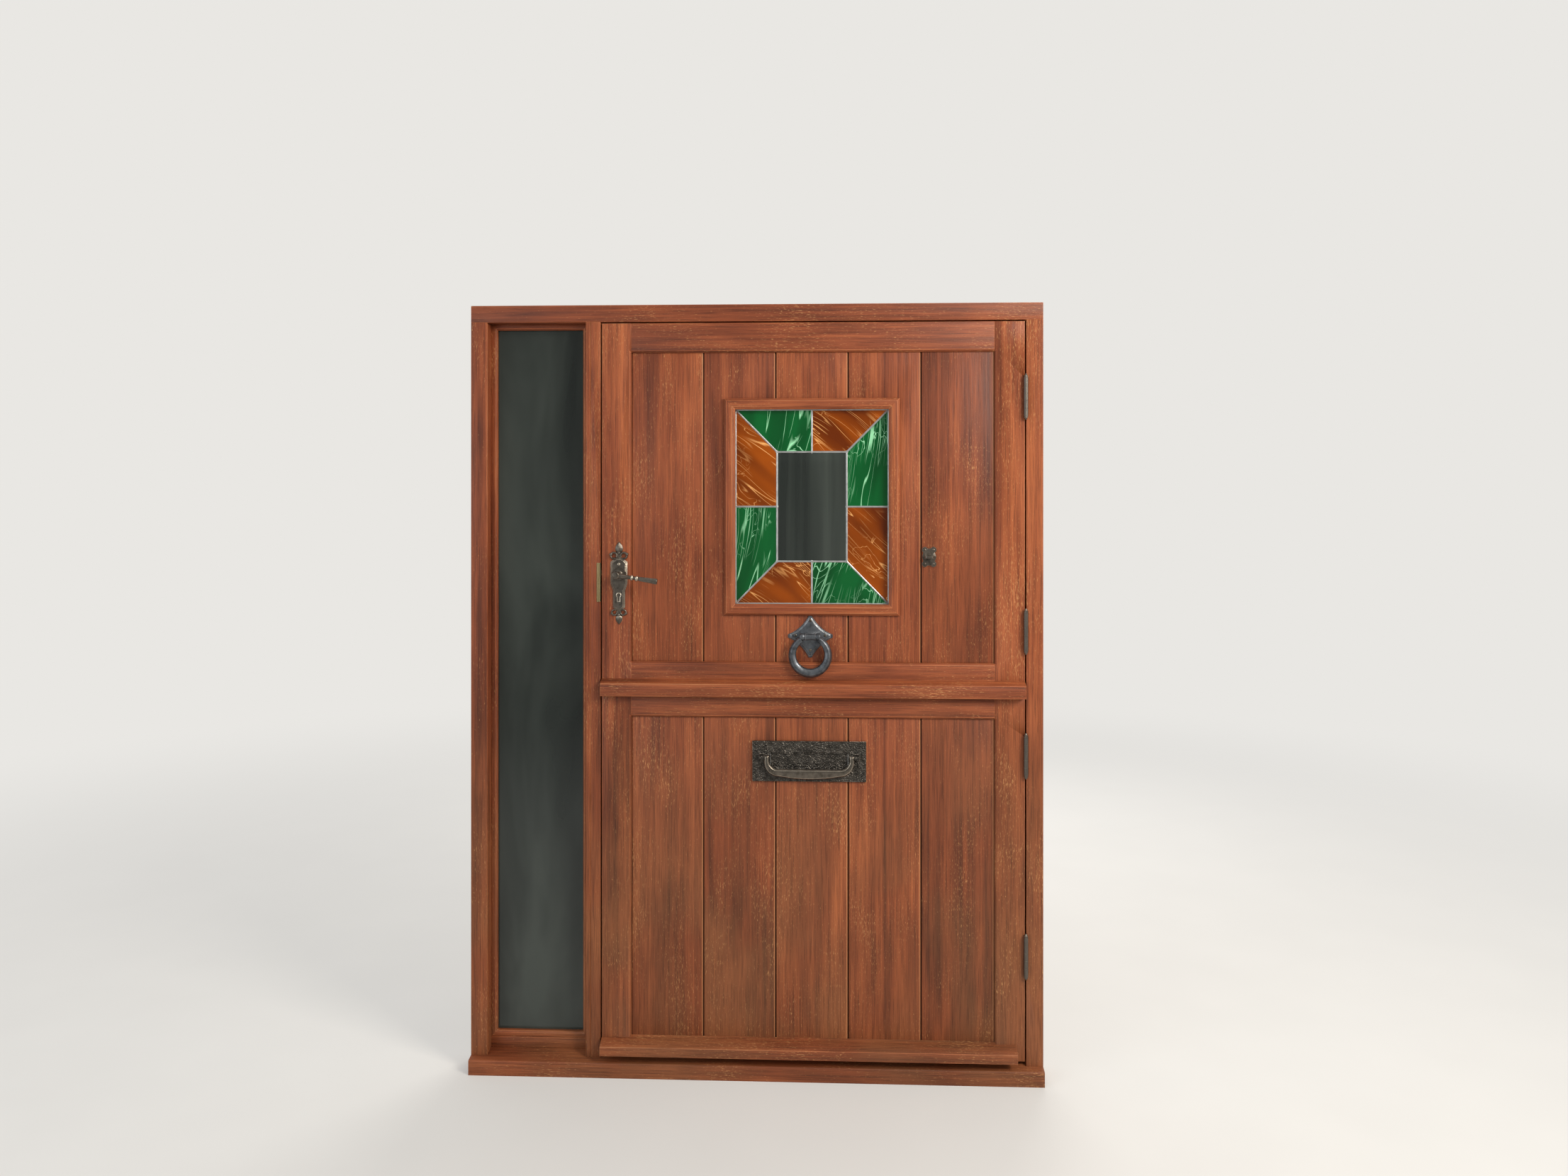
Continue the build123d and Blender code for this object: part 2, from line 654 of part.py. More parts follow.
# Boards
def board_outline(index):
    """Plan outline of one tongued and grooved board."""
    x0 = X_PANEL0 + index * BOARD_PITCH
    x1 = x0 + BOARD_PITCH
    mid = BOARD_SET + BOARD_T / 2
    front_left = 0 if index == 0 else BOARD_V
    front_right = 0 if index == BOARD_COUNT - 1 else BOARD_V
    points = [(x0 + front_left, BOARD_SET), (x1 - front_right, BOARD_SET)]
    if index == BOARD_COUNT - 1:
        points += edge_tongue(x1, 1)
    else:
        points += [
            (x1, BOARD_SET + BOARD_V), (x1, mid - BOARD_TONGUE_T / 2),
            (x1 + BOARD_TONGUE_L, mid - BOARD_TONGUE_T / 2), (x1 + BOARD_TONGUE_L, mid + BOARD_TONGUE_T / 2),
            (x1, mid + BOARD_TONGUE_T / 2), (x1, BOARD_BACK - BOARD_BACK_V), (x1 - BOARD_BACK_V, BOARD_BACK),
        ]
    if index == 0:
        points += [(x0, y) if x == x0 else (x, y) for x, y in reversed(edge_tongue(x0, -1))]
    else:
        groove_half = BOARD_TONGUE_T / 2 + TONGUE_CLEAR
        groove_end = x0 + BOARD_TONGUE_L + TONGUE_END_CLEAR
        points += [
            (x0 + BOARD_BACK_V, BOARD_BACK), (x0, BOARD_BACK - BOARD_BACK_V), (x0, mid + groove_half),
            (groove_end, mid + groove_half), (groove_end, mid - groove_half),
            (x0, mid - groove_half), (x0, BOARD_SET + BOARD_V),
        ]
    return points


def edge_tongue(x, side):
    """Points of the tongue that enters a stile, front to back."""
    y0 = GROOVE_SET + TONGUE_CLEAR
    y1 = GROOVE_SET + GROOVE_W - TONGUE_CLEAR
    tip = x + side * EDGE_TONGUE_L
    return [(x, y0), (tip, y0), (tip, y1), (x, y1), (x, BOARD_BACK)]


def board(index, z0, z1, tongue_below, tongue_above):
    """Board between z0 and z1, with thinned ends that enter the rails."""
    outline = board_outline(index)
    end0 = z0 - (EDGE_TONGUE_L if tongue_below else 0)
    end1 = z1 + (EDGE_TONGUE_L if tongue_above else 0)
    thin = box(X_PANEL0 - GROOVE_D, X_PANEL1 + GROOVE_D, GROOVE_SET + TONGUE_CLEAR,
               GROOVE_SET + GROOVE_W - TONGUE_CLEAR, end0, end1)
    return along_z(outline, z0, z1) + (along_z(outline, end0, end1) & thin)


def upper_board(index, window):
    """Board of the upper leaf, cut for the window."""
    return board(index, Z_UPPER_PANEL0, Z_UPPER_PANEL1, True, True) - window


def lower_board(index, slot):
    """Board of the lower leaf, which runs down in front of the ledge."""
    return board(index, Z_LOWER0, Z_LOWER_PANEL1, False, True) - slot


def drip_bar():
    """Bar along the foot of the upper leaf that throws the rain off the meeting gap."""
    z0 = Z_UPPER0 + DRIP_BAR_LIFT
    z1 = z0 + DRIP_BAR_FRONT_H
    groove0 = -DRIP_BAR_OUT + DRIP_GROOVE_IN
    groove1 = groove0 + DRIP_GROOVE_W
    return along_x([
        (0, z0), (groove1, z0), (groove1, z0 + DRIP_GROOVE_D), (groove0, z0 + DRIP_GROOVE_D),
        (groove0, z0), (-DRIP_BAR_OUT, z0), (-DRIP_BAR_OUT, z1), (0, z1 + DRIP_BAR_RISE),
    ], X_LEAF0, X_LEAF1)


def weatherboard(stiles):
    """Weatherboard at the foot of the lower leaf, let back to the boards between the stiles."""
    z0 = Z_LOWER0 + WEATHER_LIFT
    z1 = z0 + WEATHER_FRONT_H
    groove0 = -WEATHER_OUT + DRIP_GROOVE_IN
    groove1 = groove0 + DRIP_GROOVE_W
    top = z1 + WEATHER_RISE * (WEATHER_OUT + BOARD_SET) / WEATHER_OUT
    bar = along_x([
        (BOARD_SET, z0), (groove1, z0), (groove1, z0 + DRIP_GROOVE_D), (groove0, z0 + DRIP_GROOVE_D),
        (groove0, z0), (-WEATHER_OUT, z0), (-WEATHER_OUT, z1), (BOARD_SET, top),
    ], X_LEAF0, X_LEAF1 - WEATHER_SHORT)
    return bar - stiles


# Window of the upper leaf
def window_box(grow, y0, y1):
    """Block over the window's sight opening, grown on every side."""
    half_w = WINDOW_SIGHT_W / 2 + grow
    half_h = WINDOW_SIGHT_H / 2 + grow
    return box(LEAF_CX - half_w, LEAF_CX + half_w, y0, y1, WINDOW_Z - half_h, WINDOW_Z + half_h)


def window_frame(grow, profile):
    """Mitred frame whose outer edge lies a given distance outside the sight opening."""
    half_w = WINDOW_SIGHT_W / 2 + grow
    half_h = WINDOW_SIGHT_H / 2 + grow
    return mitred_frame(LEAF_CX - half_w, LEAF_CX + half_w, WINDOW_Z - half_h, WINDOW_Z + half_h, profile)


def window_moulding():
    """Moulding on the boards, with the lip that the leaded light sits behind."""
    front = BOARD_SET - MOULD_OUT
    return window_frame(MOULD_W, [
        (0, BOARD_SET), (0, front + MOULD_CHAMFER), (MOULD_CHAMFER, front),
        (MOULD_W - MOULD_BEVEL_W, front), (MOULD_W, front + MOULD_BEVEL_DROP), (MOULD_W, LIGHT_SET),
        (MOULD_W - MOULD_LIP, LIGHT_SET), (MOULD_W - MOULD_LIP, BOARD_SET),
    ])


def window_lining():
    """Lining of the opening through the boards."""
    return window_frame(MOULD_LIP + LINING_T, [
        (0, BOARD_SET), (LINING_T, BOARD_SET), (LINING_T, LEAF_T), (0, LEAF_T),
    ])


def window_inner_bead():
    """Bead that holds the leaded light from the inside."""
    back = LIGHT_SET + LIGHT_T
    return window_frame(MOULD_LIP, [
        (0, back), (INNER_BEAD_W, back), (INNER_BEAD_W, LEAF_T - INNER_BEAD_CHAMFER),
        (INNER_BEAD_W - INNER_BEAD_CHAMFER, LEAF_T), (0, LEAF_T),
    ])


def came_lines():
    """Centre lines of the nine panes' outlines, clockwise from the centre pane."""
    a = CENTRE_PANE_W / 2 + CAME_FACE / 2
    b = CENTRE_PANE_H / 2 + CAME_FACE / 2
    inset = LIGHT_EDGE_CLEAR - MOULD_LIP + BORDER_CAME_W - CAME_FACE / 2
    c = WINDOW_SIGHT_W / 2 - inset
    d = WINDOW_SIGHT_H / 2 - inset
    return [
        [(-a, -b), (a, -b), (a, b), (-a, b)],
        [(-c, d), (-a, b), (0, b), (0, d)],
        [(0, d), (0, b), (a, b), (c, d)],
        [(c, d), (a, b), (a, 0), (c, 0)],
        [(c, 0), (a, 0), (a, -b), (c, -d)],
        [(c, -d), (a, -b), (0, -b), (0, -d)],
        [(0, -d), (0, -b), (-a, -b), (-c, -d)],
        [(-c, -d), (-a, -b), (-a, 0), (-c, 0)],
        [(-c, 0), (-a, 0), (-a, b), (-c, d)],
    ]


def light_piece(points, inset, y0, y1):
    """Flat piece inside one pane's centre lines, inset from them."""
    outline = offset(Polygon(points), -inset, kind=Kind.INTERSECTION)
    flat = extrude(outline, y1 - y0)
    if flat.bounding_box().min.Z < -1e-6:
        flat = Pos(0, 0, y1 - y0) * flat
    return facing_out(flat, LEAF_CX, y1, WINDOW_Z)


def pane(index):
    """One glass pane, its edge inside the cames."""
    y0 = LIGHT_SET + (LIGHT_T - GLASS_T) / 2
    return light_piece(came_lines()[index], CAME_HEART / 2 + GLASS_CLEAR, y0, y0 + GLASS_T)


def lead_cames():
    """The lead network, an H in section round every pane."""
    edge = MOULD_LIP - LIGHT_EDGE_CLEAR
    lead = window_box(edge, LIGHT_SET, LIGHT_SET + LIGHT_T)
    y0 = LIGHT_SET + (LIGHT_T - GLASS_T) / 2 - GLASS_CLEAR
    for points in came_lines():
        lead -= light_piece(points, CAME_FACE / 2, LIGHT_SET, LIGHT_SET + LIGHT_T)
        lead -= light_piece(points, CAME_HEART / 2, y0, y0 + GLASS_T + 2 * GLASS_CLEAR)
    return lead


# Hinges
def hinge_recess(z, x0, x1):
    """Recess for one hinge leaf."""
    return box(x0, x1, 0, HINGE_PLATE_W + HINGE_FIT, z - HINGE_H / 2 - HINGE_FIT, z + HINGE_H / 2 + HINGE_FIT)


def hinge_leaf(z, frame_side):
    """Hinge leaf with its own knuckles: three on the frame, two on the leaf."""
    if frame_side:
        x0 = X_DOOR1 + HINGE_LET_IN - HINGE_PLATE_T
        knuckles = range(0, KNUCKLE_COUNT, 2)
    else:
        x0 = X_LEAF1 - HINGE_LET_IN
        knuckles = range(1, KNUCKLE_COUNT, 2)
    x1 = x0 + HINGE_PLATE_T
    bottom = z - HINGE_H / 2
    length = (HINGE_H - (KNUCKLE_COUNT - 1) * KNUCKLE_GAP) / KNUCKLE_COUNT
    leaf = box(x0, x1, -HINGE_BACK, HINGE_PLATE_W, bottom, bottom + HINGE_H)
    for i in knuckles:
        start = bottom + i * (length + KNUCKLE_GAP)
        leaf += box(x0, x1, -HINGE_BACK - HINGE_TONGUE, 0, start, start + length)
        leaf += rod("Z", KNUCKLE_R, (HINGE_X, -HINGE_OUT, start), length)
    return leaf - bore("Z", HINGE_BORE_R, (HINGE_X, -HINGE_OUT, bottom), HINGE_H)


def hinge_pin(z):
    """Pin with a stepped finial at each end."""
    half = HINGE_H / 2
    pin = rod("Z", HINGE_PIN_R, (HINGE_X, -HINGE_OUT, z - half), HINGE_H)
    for radius, reach in ((FINIAL_R, FINIAL_H), (FINIAL_TIP_R, FINIAL_H + FINIAL_TIP_H)):
        pin += rod("Z", radius, (HINGE_X, -HINGE_OUT, z + half), reach)
        pin += rod("Z", radius, (HINGE_X, -HINGE_OUT, z - half - reach), reach)
    return pin


# Mortice lock
def lock_mortice():
    """Space in the lock stile for the case, the forend, the spindle and the key."""
    fit = LOCK_FIT
    forend_z = (LOCK_Z0 + LOCK_Z1) / 2
    return [
        box(X_LEAF0, X_LEAF0 + FOREND_T + LOCK_W + fit, LOCK_Y - LOCK_T / 2 - fit, LOCK_Y + LOCK_T / 2 + fit,
            LOCK_Z0 - fit, LOCK_Z1 + fit),
        box(X_LEAF0, X_LEAF0 + FOREND_T, LOCK_Y - FOREND_W / 2 - fit, LOCK_Y + FOREND_W / 2 + fit,
            forend_z - FOREND_H / 2 - fit, forend_z + FOREND_H / 2 + fit),
        bore("Y", SPINDLE_HOLE_R, (LEVER_X, 0, LEVER_Z), LEAF_T),
        facing_out(keyhole(LEAF_T, 0), LEVER_X, LEAF_T, LEVER_Z),
    ]


def lock_case():
    """Case and forend with the ways of the latch, the dead bolt, the spindle and the key."""
    forend_z = (LOCK_Z0 + LOCK_Z1) / 2
    case = box(X_LEAF0 + FOREND_T, X_LEAF0 + FOREND_T + LOCK_W, LOCK_Y - LOCK_T / 2, LOCK_Y + LOCK_T / 2,
               LOCK_Z0, LOCK_Z1)
    case += box(X_LEAF0, X_LEAF0 + FOREND_T, LOCK_Y - FOREND_W / 2, LOCK_Y + FOREND_W / 2,
                forend_z - FOREND_H / 2, forend_z + FOREND_H / 2)
    fit = BOLT_FIT
    case -= box(X_LEAF0, X_LEAF0 + LATCH_TAIL + LATCH_THROW + 1, LOCK_Y - LATCH_W / 2 - fit,
                LOCK_Y + LATCH_W / 2 + fit, LATCH_Z - LATCH_H / 2 - fit, LATCH_Z + LATCH_H / 2 + fit)
    case -= box(X_LEAF0, X_LEAF0 + BOLT_TAIL + 1, LOCK_Y - BOLT_W / 2 - fit, LOCK_Y + BOLT_W / 2 + fit,
                BOLT_Z - BOLT_H / 2 - fit, BOLT_Z + BOLT_H / 2 + fit)
    case -= bore("Y", SPINDLE_HOLE_R, (LEVER_X, 0, LEVER_Z), LEAF_T)
    return case - facing_out(keyhole(LEAF_T, 0), LEVER_X, LEAF_T, LEVER_Z)


def latch_bolt():
    """Sprung latch, bevelled on the side that meets the mullion as the leaf closes."""
    tip = X_LEAF0 - LATCH_THROW
    tail = X_LEAF0 + LATCH_TAIL
    y0 = LOCK_Y - LATCH_W / 2
    y1 = LOCK_Y + LATCH_W / 2
    outline = [(tail, y0), (tip, y0), (tip, y1 - LATCH_BEVEL), (tip + LATCH_BEVEL, y1), (tail, y1)]
    return along_z(outline, LATCH_Z - LATCH_H / 2, LATCH_Z + LATCH_H / 2)


def dead_bolt():
    """Dead bolt, drawn back."""
    return box(X_LEAF0 + BOLT_OUT, X_LEAF0 + BOLT_TAIL, LOCK_Y - BOLT_W / 2, LOCK_Y + BOLT_W / 2,
               BOLT_Z - BOLT_H / 2, BOLT_Z + BOLT_H / 2)


# Lever furniture, drawn flat round the spindle's axis
def keyhole(height, grow):
    """Keyhole prism below the spindle, grown on every side."""
    slot_h = KEYHOLE_SLOT_DROP + grow
    shape = Pos(0, -KEYHOLE_DROP) * RegularPolygon(KEYHOLE_R + grow, ROUND_SIDES, major_radius=False)
    shape += Pos(0, -KEYHOLE_DROP - slot_h / 2) * Rectangle(KEYHOLE_SLOT_W + 2 * grow, slot_h)
    return extrude(shape, height)


def bevelled(outline, height, edge):
    """Flat piece with its front edges chamfered."""
    piece = extrude(outline, height, dir=(0, 0, 1))
    return chamfer(piece.faces().sort_by(Axis.Z)[-1].edges(), edge)


def petal():
    """Outline of the fleur's petal, pointed at both ends."""
    half = FLEUR_SIDES // 2
    side = [(FLEUR_PETAL_HW * math.sin(math.pi * (i / half) ** 0.8), FLEUR_PETAL_UP + FLEUR_PETAL_L * i / half)
            for i in range(half + 1)]
    return Polygon(side + [(-x, y) for x, y in side[-2:0:-1]], align=None)


def fleur():
    """Fleur-de-lis pointing up from the plate's end: a petal, a ball and two curls with buds."""
    flower = Part() + bevelled(petal(), FLEUR_PETAL_T, FLEUR_EDGE)
    flower += Pos(0, FLEUR_PETAL_UP / 2) * extrude(
        Rectangle(FLEUR_NECK_W, FLEUR_PETAL_UP + FLEUR_NECK_W / 2), PLATE_BASE_T)
    ball = bevelled(RegularPolygon(FLEUR_BALL_R, FLEUR_SIDES - 2), FLEUR_PETAL_T + FLEUR_EDGE, FLEUR_EDGE)
    bud = extrude(RegularPolygon(FLEUR_BUD_R, FLEUR_SIDES - 2), FLEUR_PETAL_T)
    curl = RegularPolygon(FLEUR_CURL_R, FLEUR_SIDES) - RegularPolygon(FLEUR_CURL_EYE_R, FLEUR_SIDES)
    flower += Pos(0, FLEUR_PETAL_UP) * ball
    for x in (-1, 1):
        flower += Pos(x * FLEUR_CURL_X, FLEUR_CURL_Y) * extrude(curl, FLEUR_CURL_T)
        flower += Pos(x * FLEUR_BUD_X, FLEUR_BUD_Y) * bud
    return flower


def lever_plate():
    """Back plate with a fleur-de-lis at each end, a stepped border, a rose and a keyhole rim."""
    half = [
        (PLATE_TOP_HW, PLATE_ABOVE), (PLATE_UPPER_HW, PLATE_ABOVE - PLATE_TOP_SLOPE),
        (PLATE_UPPER_HW, -PLATE_UPPER_DROP), (PLATE_LOWER_HW, -PLATE_UPPER_DROP - PLATE_TAPER),
        (PLATE_LOWER_HW, -PLATE_BELOW + PLATE_FOOT_SLOPE), (PLATE_FOOT_HW, -PLATE_BELOW),
    ]
    outline = Polygon(half + [(-x, y) for x, y in reversed(half)])
    plate = Part() + extrude(outline, PLATE_BASE_T, dir=(0, 0, 1))
    raised = offset(outline, -PLATE_STEP_W, kind=Kind.INTERSECTION)
    plate += extrude(raised, PLATE_BASE_T + PLATE_STEP_T, dir=(0, 0, 1))
    flower = fleur()
    plate += Pos(0, PLATE_ABOVE) * flower
    plate += Pos(0, -PLATE_BELOW) * Rot(0, 0, 180) * scale(flower, by=FLEUR_FOOT_SHARE)
    plate += extrude(RegularPolygon(ROSE_R, ROSE_SIDES), rose_top(), dir=(0, 0, 1))
    plate += keyhole(PLATE_BASE_T + PLATE_STEP_T + ROSE_T / 2, KEYHOLE_RIM)
    dish = RegularPolygon(ROSE_R - ROSE_RIM, ROSE_SIDES)
    plate -= Pos(0, 0, rose_top() - ROSE_T / 2) * extrude(dish, ROSE_T, dir=(0, 0, 1))
    plate -= keyhole(LEVER_OUT, 0)
    return plate - bore("Z", NECK_R + NECK_FIT, (0, 0, 0), LEVER_OUT)


def rose_top():
    """Height of the rose's rim above the back of the plate."""
    return PLATE_BASE_T + PLATE_STEP_T + ROSE_T


def cross_section(x, width, depth, mid):
    """Chamfered bar section across the lever, at a distance x from its axis."""
    shape = Rectangle(depth, width)
    return Pos(x, 0, mid) * Rot(0, 90, 0) * shape


def lever_knot(mid):
    """Ball between two collars, about the lever's own line."""
    collar0, collar1 = LEVER_WAIST_AT, LEVER_GRIP_AT - LEVER_COLLAR_T
    ball0, ball1 = collar0 + 1.5 * LEVER_COLLAR_T, collar1 - LEVER_COLLAR_T / 2
    knot = rod("X", LEVER_WAIST / 2, (collar0, 0, mid), LEVER_GRIP_AT - collar0)
    knot += rod("X", LEVER_COLLAR_R, (collar0, 0, mid), LEVER_COLLAR_T)
    knot += rod("X", LEVER_COLLAR_R, (collar1, 0, mid), LEVER_COLLAR_T)
    slices = []
    for share, swell in ((0, 0.5), (0.2, 0.86), (0.5, 1), (0.8, 0.86), (1, 0.5)):
        outline = RegularPolygon(LEVER_BALL_R * swell, ROUND_SIDES)
        slices.append(Pos(ball0 + (ball1 - ball0) * share, 0, mid) * Rot(0, 90, 0) * outline)
    return knot + loft(slices, ruled=True)


def lever(droop):
    """Lever with its neck, tapering root, turned knot and flared grip, turned by its droop."""
    mid = LEVER_OUT - LEVER_CAP_T - LEVER_ROOT / 2
    arm = loft([cross_section(2.0, LEVER_ROOT, LEVER_ROOT, mid),
                cross_section(LEVER_WAIST_AT, LEVER_WAIST, LEVER_WAIST, mid)])
    arm += loft([cross_section(LEVER_GRIP_AT, LEVER_GRIP, LEVER_GRIP * LEVER_FLATTEN, mid),
                 cross_section(LEVER_L, LEVER_TIP, LEVER_TIP * LEVER_FLATTEN, mid)])
    arm = chamfer(arm.faces().sort_by(Axis.X)[-1].edges(), LEVER_EDGE)
    arm += lever_knot(mid)
    hub = rod("Z", LEVER_HUB_R, (0, 0, mid - LEVER_ROOT / 2), LEVER_ROOT)
    hub += rod("Z", LEVER_CAP_R, (0, 0, mid + LEVER_ROOT / 2), LEVER_CAP_T)
    collar_at = rose_top() + COLLAR_GAP - ROSE_T / 2
    neck = rod("Z", NECK_R, (0, 0, COLLAR_GAP), mid - COLLAR_GAP)
    neck += rod("Z", COLLAR_R, (0, 0, collar_at), COLLAR_T)
    whole = Rot(0, 0, droop) * arm + hub + neck
    return whole - Box(SPINDLE_S, SPINDLE_S, 2 * spindle_reach())


def spindle_reach():
    """How far the spindle enters a lever, from the leaf's face."""
    return LEVER_OUT * 0.6


def spindle():
    """Square spindle through the leaf."""
    half = SPINDLE_S / 2
    return box(LEVER_X - half, LEVER_X + half, -spindle_reach(), LEAF_T + spindle_reach(),
               LEVER_Z - half, LEVER_Z + half)


# Knocker, drawn flat round the ring's pin
def knocker_depth():
    """Distance of the ring's pin from the boards: the ring's foot rests before the bottom rail."""
    return BOARD_SET + RING_REST_GAP + RING_SECTION_R


def knocker_outline():
    """Four-pointed plate with hollow sides and blunt tips."""
    tips = [
        [(-KNOCKER_TIP, KNOCKER_ABOVE), (KNOCKER_TIP, KNOCKER_ABOVE)],
        [(KNOCKER_HALF_W, KNOCKER_TIP), (KNOCKER_HALF_W, -KNOCKER_TIP)],
        [(KNOCKER_TIP, -KNOCKER_BELOW), (-KNOCKER_TIP, -KNOCKER_BELOW)],
        [(-KNOCKER_HALF_W, -KNOCKER_TIP), (-KNOCKER_HALF_W, KNOCKER_TIP)],
    ]
    edges = []
    for i, tip in enumerate(tips):
        start, end = tip[1], tips[(i + 1) % 4][0]
        middle = ((start[0] + end[0]) / 2, (start[1] + end[1]) / 2)
        pull = 1 - KNOCKER_SAG / math.hypot(*middle)
        edges.append(Line(tip[0], tip[1]))
        edges.append(ThreePointArc(start, (middle[0] * pull, middle[1] * pull), end))
    return make_face(edges)


def knocker_plate():
    """Plate with a bevelled inner face and the flanged knuckle for the ring."""
    outline = knocker_outline()
    plate = Part() + extrude(outline, KNOCKER_BASE_T, dir=(0, 0, 1))
    share = 1 - KNOCKER_STEP_W / (KNOCKER_ABOVE - KNOCKER_STEP_W)
    plate += loft([
        Pos(0, 0, KNOCKER_BASE_T) * scale(outline, by=share),
        Pos(0, 0, KNOCKER_BASE_T + KNOCKER_STEP_T) * scale(outline, by=share - 0.06),
    ])
    half = KNOCKER_KNUCKLE_W / 2
    depth = knocker_depth()
    plate += Pos(0, 0, depth / 2) * Box(KNOCKER_KNUCKLE_W, 2 * KNOCKER_KNUCKLE_R - 3.0, depth)
    plate += rod("X", KNOCKER_KNUCKLE_R, (-half, 0, depth), KNOCKER_KNUCKLE_W)
    for start in (-half, half - KNUCKLE_FLANGE_W):
        plate += rod("X", KNUCKLE_FLANGE_R, (start, 0, depth), KNUCKLE_FLANGE_W)
    return plate - bore("X", KNOCKER_PIN_R + KNOCKER_PIN_FIT, (-half, 0, depth), KNOCKER_KNUCKLE_W)


def knocker_ring():
    """Ring that swells towards its foot, with a boss each side of the knuckle and the pin."""
    depth = knocker_depth()
    sections = []
    for i in range(RING_SECTIONS):
        share = 2 * i / (RING_SECTIONS - 1) - 1
        angle = math.radians(share * RING_END_ANGLE)
        section_r = RING_SECTION_R - (RING_SECTION_R - RING_END_R) * abs(share) ** 1.6
        centre_r = RING_OUT_R - section_r
        place = Plane(
            origin=(centre_r * math.sin(angle), -RING_DROP - centre_r * math.cos(angle), depth),
            x_dir=(0, 0, 1),
            z_dir=(math.cos(angle), math.sin(angle), 0),
        )
        sections.append(place * RegularPolygon(section_r, RING_SIDES))
    ring = loft(sections, ruled=True)
    inner = KNOCKER_KNUCKLE_W / 2 + KNOCKER_SIDE_GAP
    for side in (-1, 1):
        start = inner if side > 0 else -inner - KNOCKER_BOSS_W
        ring += rod("X", KNOCKER_BOSS_R, (start, 0, depth), KNOCKER_BOSS_W)
    return ring + rod("X", KNOCKER_PIN_R, (-inner - 1, 0, depth), 2 * inner + 2)


# Letter plate
def letter_slot():
    """Slot through the boards for the post and the opened flap."""
    half = FLAP_W / 2 + SLOT_CLEAR
    return box(LEAF_CX + LETTER_X - half, LEAF_CX + LETTER_X + half, BOARD_SET, BOARD_BACK,
               FLAP_TOP - FLAP_H - SLOT_CLEAR, FLAP_TOP + SLOT_CLEAR)


def flap_axis_y():
    """Depth of the flap's pivot."""
    return BOARD_SET - LETTER_T + FLAP_SET + FLAP_T / 2


def letter_plate():
    """Plate with the flap's opening, its sloping lower lip and the bosses of the bow."""
    x = LEAF_CX + LETTER_X
    front = BOARD_SET - LETTER_T
    plate = box(x - LETTER_W / 2, x + LETTER_W / 2, front, BOARD_SET, LETTER_TOP - LETTER_H, LETTER_TOP)
    half = FLAP_W / 2 + FLAP_GAP
    bottom = FLAP_TOP - FLAP_H - FLAP_GAP
    plate -= box(x - half, x + half, front, BOARD_SET, bottom, FLAP_TOP + FLAP_GAP)
    plate -= along_x([(front, bottom - LETTER_LIP), (front, bottom), (front + LETTER_LIP_D, bottom)],
                     x - half, x + half)
    plate -= bore("X", FLAP_PIVOT_R + FLAP_PIVOT_FIT,
                  (x - half - FLAP_PIVOT_L, flap_axis_y(), FLAP_TOP - FLAP_BARREL_R),
                  2 * half + 2 * FLAP_PIVOT_L)
    for side in (-1, 1):
        inner = BOW_HALF_W + BOW_BOSS_GAP
        x0 = x + (inner if side > 0 else -inner - BOW_BOSS_W)
        plate += box(x0, x0 + BOW_BOSS_W, front - BOW_PIN_OUT, front, BOW_Z - BOW_BOSS_R, BOW_Z + BOW_BOSS_R)
        plate += rod("X", BOW_BOSS_R, (x0, front - BOW_PIN_OUT, BOW_Z), BOW_BOSS_W)
        plate -= bore("X", BOW_PIN_R + BOW_PIN_FIT, (x0, front - BOW_PIN_OUT, BOW_Z), BOW_BOSS_W)
    return plate


def letter_flap():
    """Flap with a barrel along its top and a pivot at each end."""
    x = LEAF_CX + LETTER_X
    y = flap_axis_y()
    z = FLAP_TOP - FLAP_BARREL_R
    flap = box(x - FLAP_W / 2, x + FLAP_W / 2, y - FLAP_T / 2, y + FLAP_T / 2, FLAP_TOP - FLAP_H, z)
    flap += rod("X", FLAP_BARREL_R, (x - FLAP_W / 2, y, z), FLAP_W)
    reach = FLAP_W / 2 + FLAP_GAP + FLAP_PIVOT_L - 1
    return flap + rod("X", FLAP_PIVOT_R, (x - reach, y, z), 2 * reach)


def bow_outline(side_w, foot_h, corner):
    """U outline of the bow, inset from its outer edge."""
    half = BOW_HALF_W - side_w
    foot = BOW_BOTTOM + foot_h - BOW_Z
    top = BOW_EYE_TOP
    return make_face([
        FilletPolyline((-half, top), (-half, foot), (half, foot), (half, top), radius=corner),
        Line((half, top), (-half, top)),
    ])


def letter_bow():
    """Pull bow with arms, a deeper bar crowned along its foot, bevelled edges and its pins."""
    inner_r = BOW_CORNER_R - BOW_ARM_W
    flat = bow_outline(0, BOW_CROWN, BOW_CORNER_R) - bow_outline(BOW_ARM_W, BOW_BAR_H, inner_r)
    bow = extrude(flat, BOW_T, dir=(0, 0, 1))
    bow = chamfer(bow.faces().sort_by(Axis.Z)[-1].edges(), BOW_CHAMFER)
    end, foot = BOW_HALF_W - BOW_CORNER_R, BOW_CROWN - BOW_H
    crown = make_face([Line((-end, foot), (end, foot)), ThreePointArc((end, foot), (0, -BOW_H), (-end, foot))])
    bow += extrude(crown, BOW_T - BOW_CHAMFER, dir=(0, 0, 1))
    bow = Pos(0, 0, -BOW_T / 2) * bow
    front = BOARD_SET - LETTER_T
    reach = BOW_HALF_W + BOW_BOSS_GAP + BOW_BOSS_W - 1
    for side in (-1, 1):
        start = reach - BOW_BOSS_W - 2 if side > 0 else -reach
        bow += rod("X", BOW_PIN_R, (start, 0, 0), BOW_BOSS_W + 2)
    return facing_out(bow, LEAF_CX + LETTER_X, front - BOW_PIN_OUT, BOW_Z)


